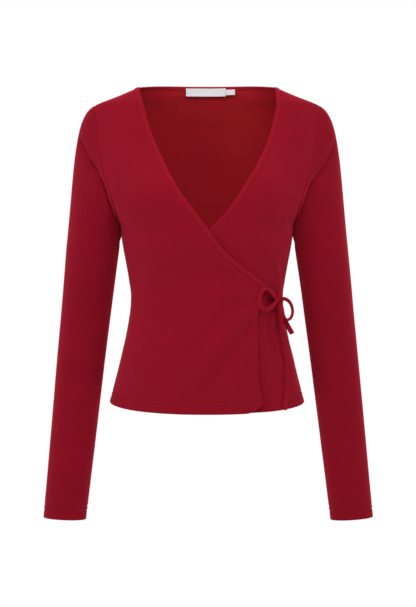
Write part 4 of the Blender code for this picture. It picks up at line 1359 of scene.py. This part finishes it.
# The base colour varies by this share either way: cloudily, with this contrast, and a little with the knit,
# darker in its low parts and lighter on its loops, which is painted shade and highlight.
DYE_AND_KNIT_SHADE = {"unevenness": 0.1, "contrast": 3.0, "in_knit": 0.35}


def knit_height(tree, across, up, wale):
    """Plain knit: columns of rounded loops, each a small chevron, so each row bends down in its middle."""
    column = math_node(tree, "MULTIPLY", across, 2 * math.pi / wale)
    rib = math_node(tree, "ABSOLUTE", math_node(tree, "COSINE", math_node(tree, "MULTIPLY", column, 0.5)))
    bend = math_node(tree, "MULTIPLY", rib, KNIT["chevron"] * 2 * math.pi)
    row = math_node(tree, "MULTIPLY_ADD", up, 2 * math.pi / COURSE, bend)
    wave = math_node(tree, "SINE", row)
    loop = math_node(tree, "MULTIPLY_ADD", wave, KNIT["row_depth"], 1 - KNIT["row_depth"])
    return math_node(tree, "MULTIPLY", math_node(tree, "POWER", rib, KNIT["fullness"]), loop)


def add_bump(tree, shader, height, strength, distance):
    bump = set_sockets(tree.nodes.new("ShaderNodeBump"), Strength=strength, Distance=distance)
    tree.links.new(height, bump.inputs["Height"])
    tree.links.new(bump.outputs["Normal"], shader.inputs["Normal"])


def two_tone(tree, shader, amount, base, darker, lighter):
    """The base colour between two shares of itself, by an amount from 0 to 1."""
    mix = tree.nodes.new("ShaderNodeMix")
    mix.data_type = "RGBA"
    low, high = ([min(channel * share, 1.0) for channel in base] for share in (darker, lighter))
    set_sockets(mix, A=(*low, 1.0), B=(*high, 1.0))
    tree.links.new(amount, mix.inputs["Factor"])
    tree.links.new(mix.outputs["Result"], shader.inputs["Base Color"])


def jersey_material(name, base, wale=WALE):
    """Cotton jersey: fine knit columns, a matt nap with a faint bloom, slight unevenness in the dye, and
    painted shade in the knit's hollows.
    """
    made, tree, shader = new_material(
        name,
        base,
        Roughness=0.95,
        Specular_IOR_Level=0.05,
        Sheen_Weight=0.6,
        Sheen_Roughness=0.55,
        Sheen_Tint=(1.0, 0.055, 0.11, 1.0),
    )
    across, up = flat_map_of(tree)
    place = object_place(tree)
    knit = knit_height(tree, across, up, wale)
    fuzz = noise(tree, place, scale=2600.0)
    height = math_node(tree, "MULTIPLY_ADD", fuzz, NAP, knit)
    add_bump(tree, shader, height, KNIT_STRENGTH, KNIT_BUMP)
    broad = noise(tree, place, scale=14.0, detail=4.0, roughness=0.65)
    yarn = noise(tree, place, scale=330.0, detail=3.0, roughness=0.6)
    tone = math_node(tree, "MULTIPLY_ADD", yarn, 0.5, math_node(tree, "MULTIPLY", broad, 0.5))
    spread = math_node(tree, "MULTIPLY_ADD", math_node(tree, "SUBTRACT", tone, 0.5), DYE_AND_KNIT_SHADE["contrast"], 0.5)
    # The colour follows the knit's height: painted shade in its hollows and painted highlight on its loops.
    from_middle = math_node(tree, "SUBTRACT", knit, KNIT["middle"])
    in_knit = math_node(tree, "MULTIPLY_ADD", from_middle, DYE_AND_KNIT_SHADE["in_knit"], spread)
    clamp = tree.nodes.new("ShaderNodeClamp")
    tree.links.new(in_knit, clamp.inputs["Value"])
    two_tone(tree, shader, clamp.outputs["Result"], base, 1 - DYE_AND_KNIT_SHADE["unevenness"], 1 + DYE_AND_KNIT_SHADE["unevenness"])
    return made


def thread_material(name, base):
    """Twisted sewing thread."""
    made, tree, shader = new_material(name, base, Roughness=0.7, Specular_IOR_Level=0.2, Sheen_Weight=0.1)
    twist = noise(tree, object_place(tree), scale=3000.0, detail=1.0)
    add_bump(tree, shader, twist, strength=0.3, distance=0.0002)
    two_tone(tree, shader, twist, base, darker=0.9, lighter=1.1)
    return made


WARP_STEP = 0.0005  # from thread to thread, in metres
WEFT_STEP = 0.0004


def tag_material(name, base):
    """Close satin-woven ribbon: fine threads across and up."""
    made, tree, shader = new_material(name, base, Roughness=0.55, Specular_IOR_Level=0.3, Sheen_Weight=0.1)
    across, up = flat_map_of(tree)
    warp = math_node(tree, "SINE", math_node(tree, "MULTIPLY", across, 2 * math.pi / WARP_STEP))
    weft = math_node(tree, "SINE", math_node(tree, "MULTIPLY", up, 2 * math.pi / WEFT_STEP))
    weave = math_node(tree, "MULTIPLY_ADD", math_node(tree, "MULTIPLY", warp, weft), 0.5, 0.5)
    add_bump(tree, shader, weave, strength=0.25, distance=0.0001)
    worn = noise(tree, object_place(tree), scale=160.0, detail=3.0)
    two_tone(tree, shader, worn, base, darker=0.96, lighter=1.03)
    return made


# ---------------------------------------------------------------- the stage
FLOOR_Z = -1360.0  # as far below the shoulders as they are above the ground on a standing wearer
FLOOR_REACH = 2.9  # in metres, from its middle to each side
FLOOR_GREY = 0.86
FLOOR_GRAIN = 0.01
LIGHT_BELOW = 0.42  # how strong the room's light is from below and from above
LIGHT_ABOVE = 0.82
# Soft lamps: where each stands and where it looks, in metres, how wide it is and how strong.
LAMPS = table("x y z to_x to_y to_z size power", [
    (-1.8, -1.6, 0.4, 0.0, 0.0, -0.2, 1.4, 9.0),
    (1.8, -1.6, 0.3, 0.0, 0.0, -0.3, 1.4, 1.4),
    (0.15, -1.0, 0.5, 0.0, 0.0, -0.2, 0.5, 4.0),
    (0.0, 1.8, 1.0, 0.0, 0.0, -0.3, 1.4, 12.0),
])


def add_stage():
    """A pale floor well below the hanging sleeves, and a white room."""
    mesh = bpy.data.meshes.new("floor")
    corners = [(x * FLOOR_REACH, y * FLOOR_REACH, 0) for x, y in ((-1, -1), (1, -1), (1, 1), (-1, 1))]
    mesh.from_pydata(corners, [], [(0, 1, 2, 3)])
    grey = (FLOOR_GREY,) * 3
    surface, tree, shader = new_material("floor", grey, Roughness=0.9, Specular_IOR_Level=0.1)
    grain = noise(tree, object_place(tree), scale=40.0, detail=3.0)
    two_tone(tree, shader, grain, grey, 1 - FLOOR_GRAIN / FLOOR_GREY, 1 + FLOOR_GRAIN / FLOOR_GREY)
    mesh.materials.append(surface)
    floor = bpy.data.objects.new("floor", mesh)
    floor.location = (0, 0, FLOOR_Z * MM)
    bpy.context.scene.collection.objects.link(floor)

    world = bpy.data.worlds.new("room")
    bpy.context.scene.world = world
    world.use_nodes = True
    tree = world.node_tree
    light = set_sockets(tree.nodes["Background"], Color=WHITE)
    direction = tree.nodes.new("ShaderNodeSeparateXYZ")
    tree.links.new(tree.nodes.new("ShaderNodeTexCoord").outputs["Generated"], direction.inputs[0])
    from_above = tree.nodes.new("ShaderNodeMapRange")
    from_above.interpolation_type = "SMOOTHSTEP"
    set_sockets(from_above, From_Min=-0.7, From_Max=0.9, To_Min=LIGHT_BELOW, To_Max=LIGHT_ABOVE)
    tree.links.new(direction.outputs["Z"], from_above.inputs["Value"])
    tree.links.new(from_above.outputs["Result"], light.inputs["Strength"])
    backdrop = set_sockets(tree.nodes.new("ShaderNodeBackground"), Color=WHITE, Strength=1.0)
    seen = tree.nodes.new("ShaderNodeLightPath")
    either = tree.nodes.new("ShaderNodeMixShader")
    tree.links.new(seen.outputs["Is Camera Ray"], either.inputs["Fac"])
    tree.links.new(light.outputs[0], either.inputs[1])
    tree.links.new(backdrop.outputs[0], either.inputs[2])
    tree.links.new(either.outputs[0], tree.nodes["World Output"].inputs["Surface"])
    bpy.context.scene.view_settings.view_transform = "Standard"


def add_lamps():
    for k in range(len(LAMPS["x"])):
        lamp = {name: float(values[k]) for name, values in LAMPS.items()}
        data = bpy.data.lights.new(f"lamp_{k + 1}", "AREA")
        data.shape = "DISK"
        data.size = lamp["size"]
        data.energy = lamp["power"]
        made = bpy.data.objects.new(f"lamp_{k + 1}", data)
        start = np.array([lamp["x"], lamp["y"], lamp["z"]])
        aim = np.array([lamp["to_x"], lamp["to_y"], lamp["to_z"]]) - start
        made.location = start
        turn = math.atan2(aim[1], aim[0]) - math.pi / 2
        tilt = math.atan2(aim[2], math.hypot(aim[0], aim[1])) + math.pi / 2
        made.rotation_euler = (tilt, 0, turn)
        bpy.context.scene.collection.objects.link(made)


def declare_cloth(name):
    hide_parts(name)


def hem_lines(grid, normals, from_edge, edge, tube=False):
    """The twin needle's lines on a panel: along the row nearest to each height above its turned edge."""
    lines = []
    for height in edge["stitches"]:
        row = np.abs(from_edge - height).argmin()
        line, out = grid[row], normals[row]
        if tube:
            line, out = np.concatenate([line, line[:1]]), np.concatenate([out, out[:1]])
        lines.append((line + STITCH_LIFT * out, out))
    return lines


def build():
    add_camera()
    jersey = jersey_material("jersey", (0.24, 0.0039, 0.0136))
    # The sleeves' cloth is the body's cloth made darker: painted shade for the lesser light the hanging
    # sleeves get.
    jersey_sleeve_painted_shade = jersey_material("jersey_sleeve_painted_shade", (0.215, 0.0033, 0.0121))
    # The inner side's cloth is made much lighter than the outer cloth: painted light that lifts the shaded
    # inside of the garment and of the neck band.
    jersey_inside_painted_light = jersey_material("jersey_inside_painted_light", (0.38, 0.0118, 0.018))
    # The neck band's cloth is the body's cloth made lighter: painted highlight on the band's rounded edge.
    binding = jersey_material("binding", (0.267, 0.0047, 0.0158), BINDING_WALE)
    # The ties' cloth is the body's cloth made lighter: painted light that brightens the bow.
    rouleau = jersey_material("rouleau", (0.277, 0.0048, 0.0158))
    thread = thread_material("thread", (0.32, 0.01, 0.026))
    tag_white = tag_material("tag", (0.78, 0.76, 0.79))
    tag_thread = thread_material("tag_thread", (0.7, 0.68, 0.71))

    ties = {}
    for name in TIE_ROUTES:
        piece, route = add_tie(name, rouleau)
        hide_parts(name)
        ties[name] = (piece, route)
    for name, far_end, lay in (
        ("loop_front", "object", "loose"),
        ("loop_side", "object", "loose"),
        ("tail_long", "bare", "hanging"),
        ("tail_short", "bare", "hanging"),
    ):
        piece, route = ties[name]
    for piece in add_knot("bow_knot", rouleau):
        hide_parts("bow_knot")

    above_hem = np.concatenate([LOW_ROWS, ARMHOLE_ROWS[1:]]) - HEM_Z
    lines = []
    for name, panel in (
        ("right_front", front_grid(RIGHT)),
        ("left_front", front_grid(LEFT)),
        ("back", back_grid()),
        ("right_sleeve", sleeve_grid(RIGHT)),
        ("left_sleeve", sleeve_grid(LEFT)),
    ):
        grid, normals, thickness, flat_map = panel
        tube = name.endswith("sleeve")
        # The sleeves take the darker cloth, which is painted shade.
        cloth = jersey_sleeve_painted_shade if tube else jersey
        piece = add_shell(name + ".cloth", grid, normals, thickness, cloth, flat_map, tube, jersey_inside_painted_light)
        declare_cloth(name)
        from_edge = flat_map[:, 0, 1] - CUFF_Z if tube else above_hem
        lines.append((name, hem_lines(grid, normals, from_edge, CUFF if tube else HEM, tube)))
    for name, stitched in lines:
        add_stitches(name + ".stitches", stitched, thread)

    band = add_band("neck_binding.band", binding, jersey_inside_painted_light)
    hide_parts("neck_binding")
    for name, size in (("neck_label", LABEL), ("size_tab", SIZE_TAB)):
        tag = add_tag(name + ".woven", size, tag_white, TAG_COLUMNS[name])
        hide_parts(name)
    sewn = tag_stitch_lines()
    sewn = add_stitches("neck_label.stitches", sewn, tag_thread, length=1.6, gap=0.5, radius=0.15)

    add_stage()
    add_lamps()


build()
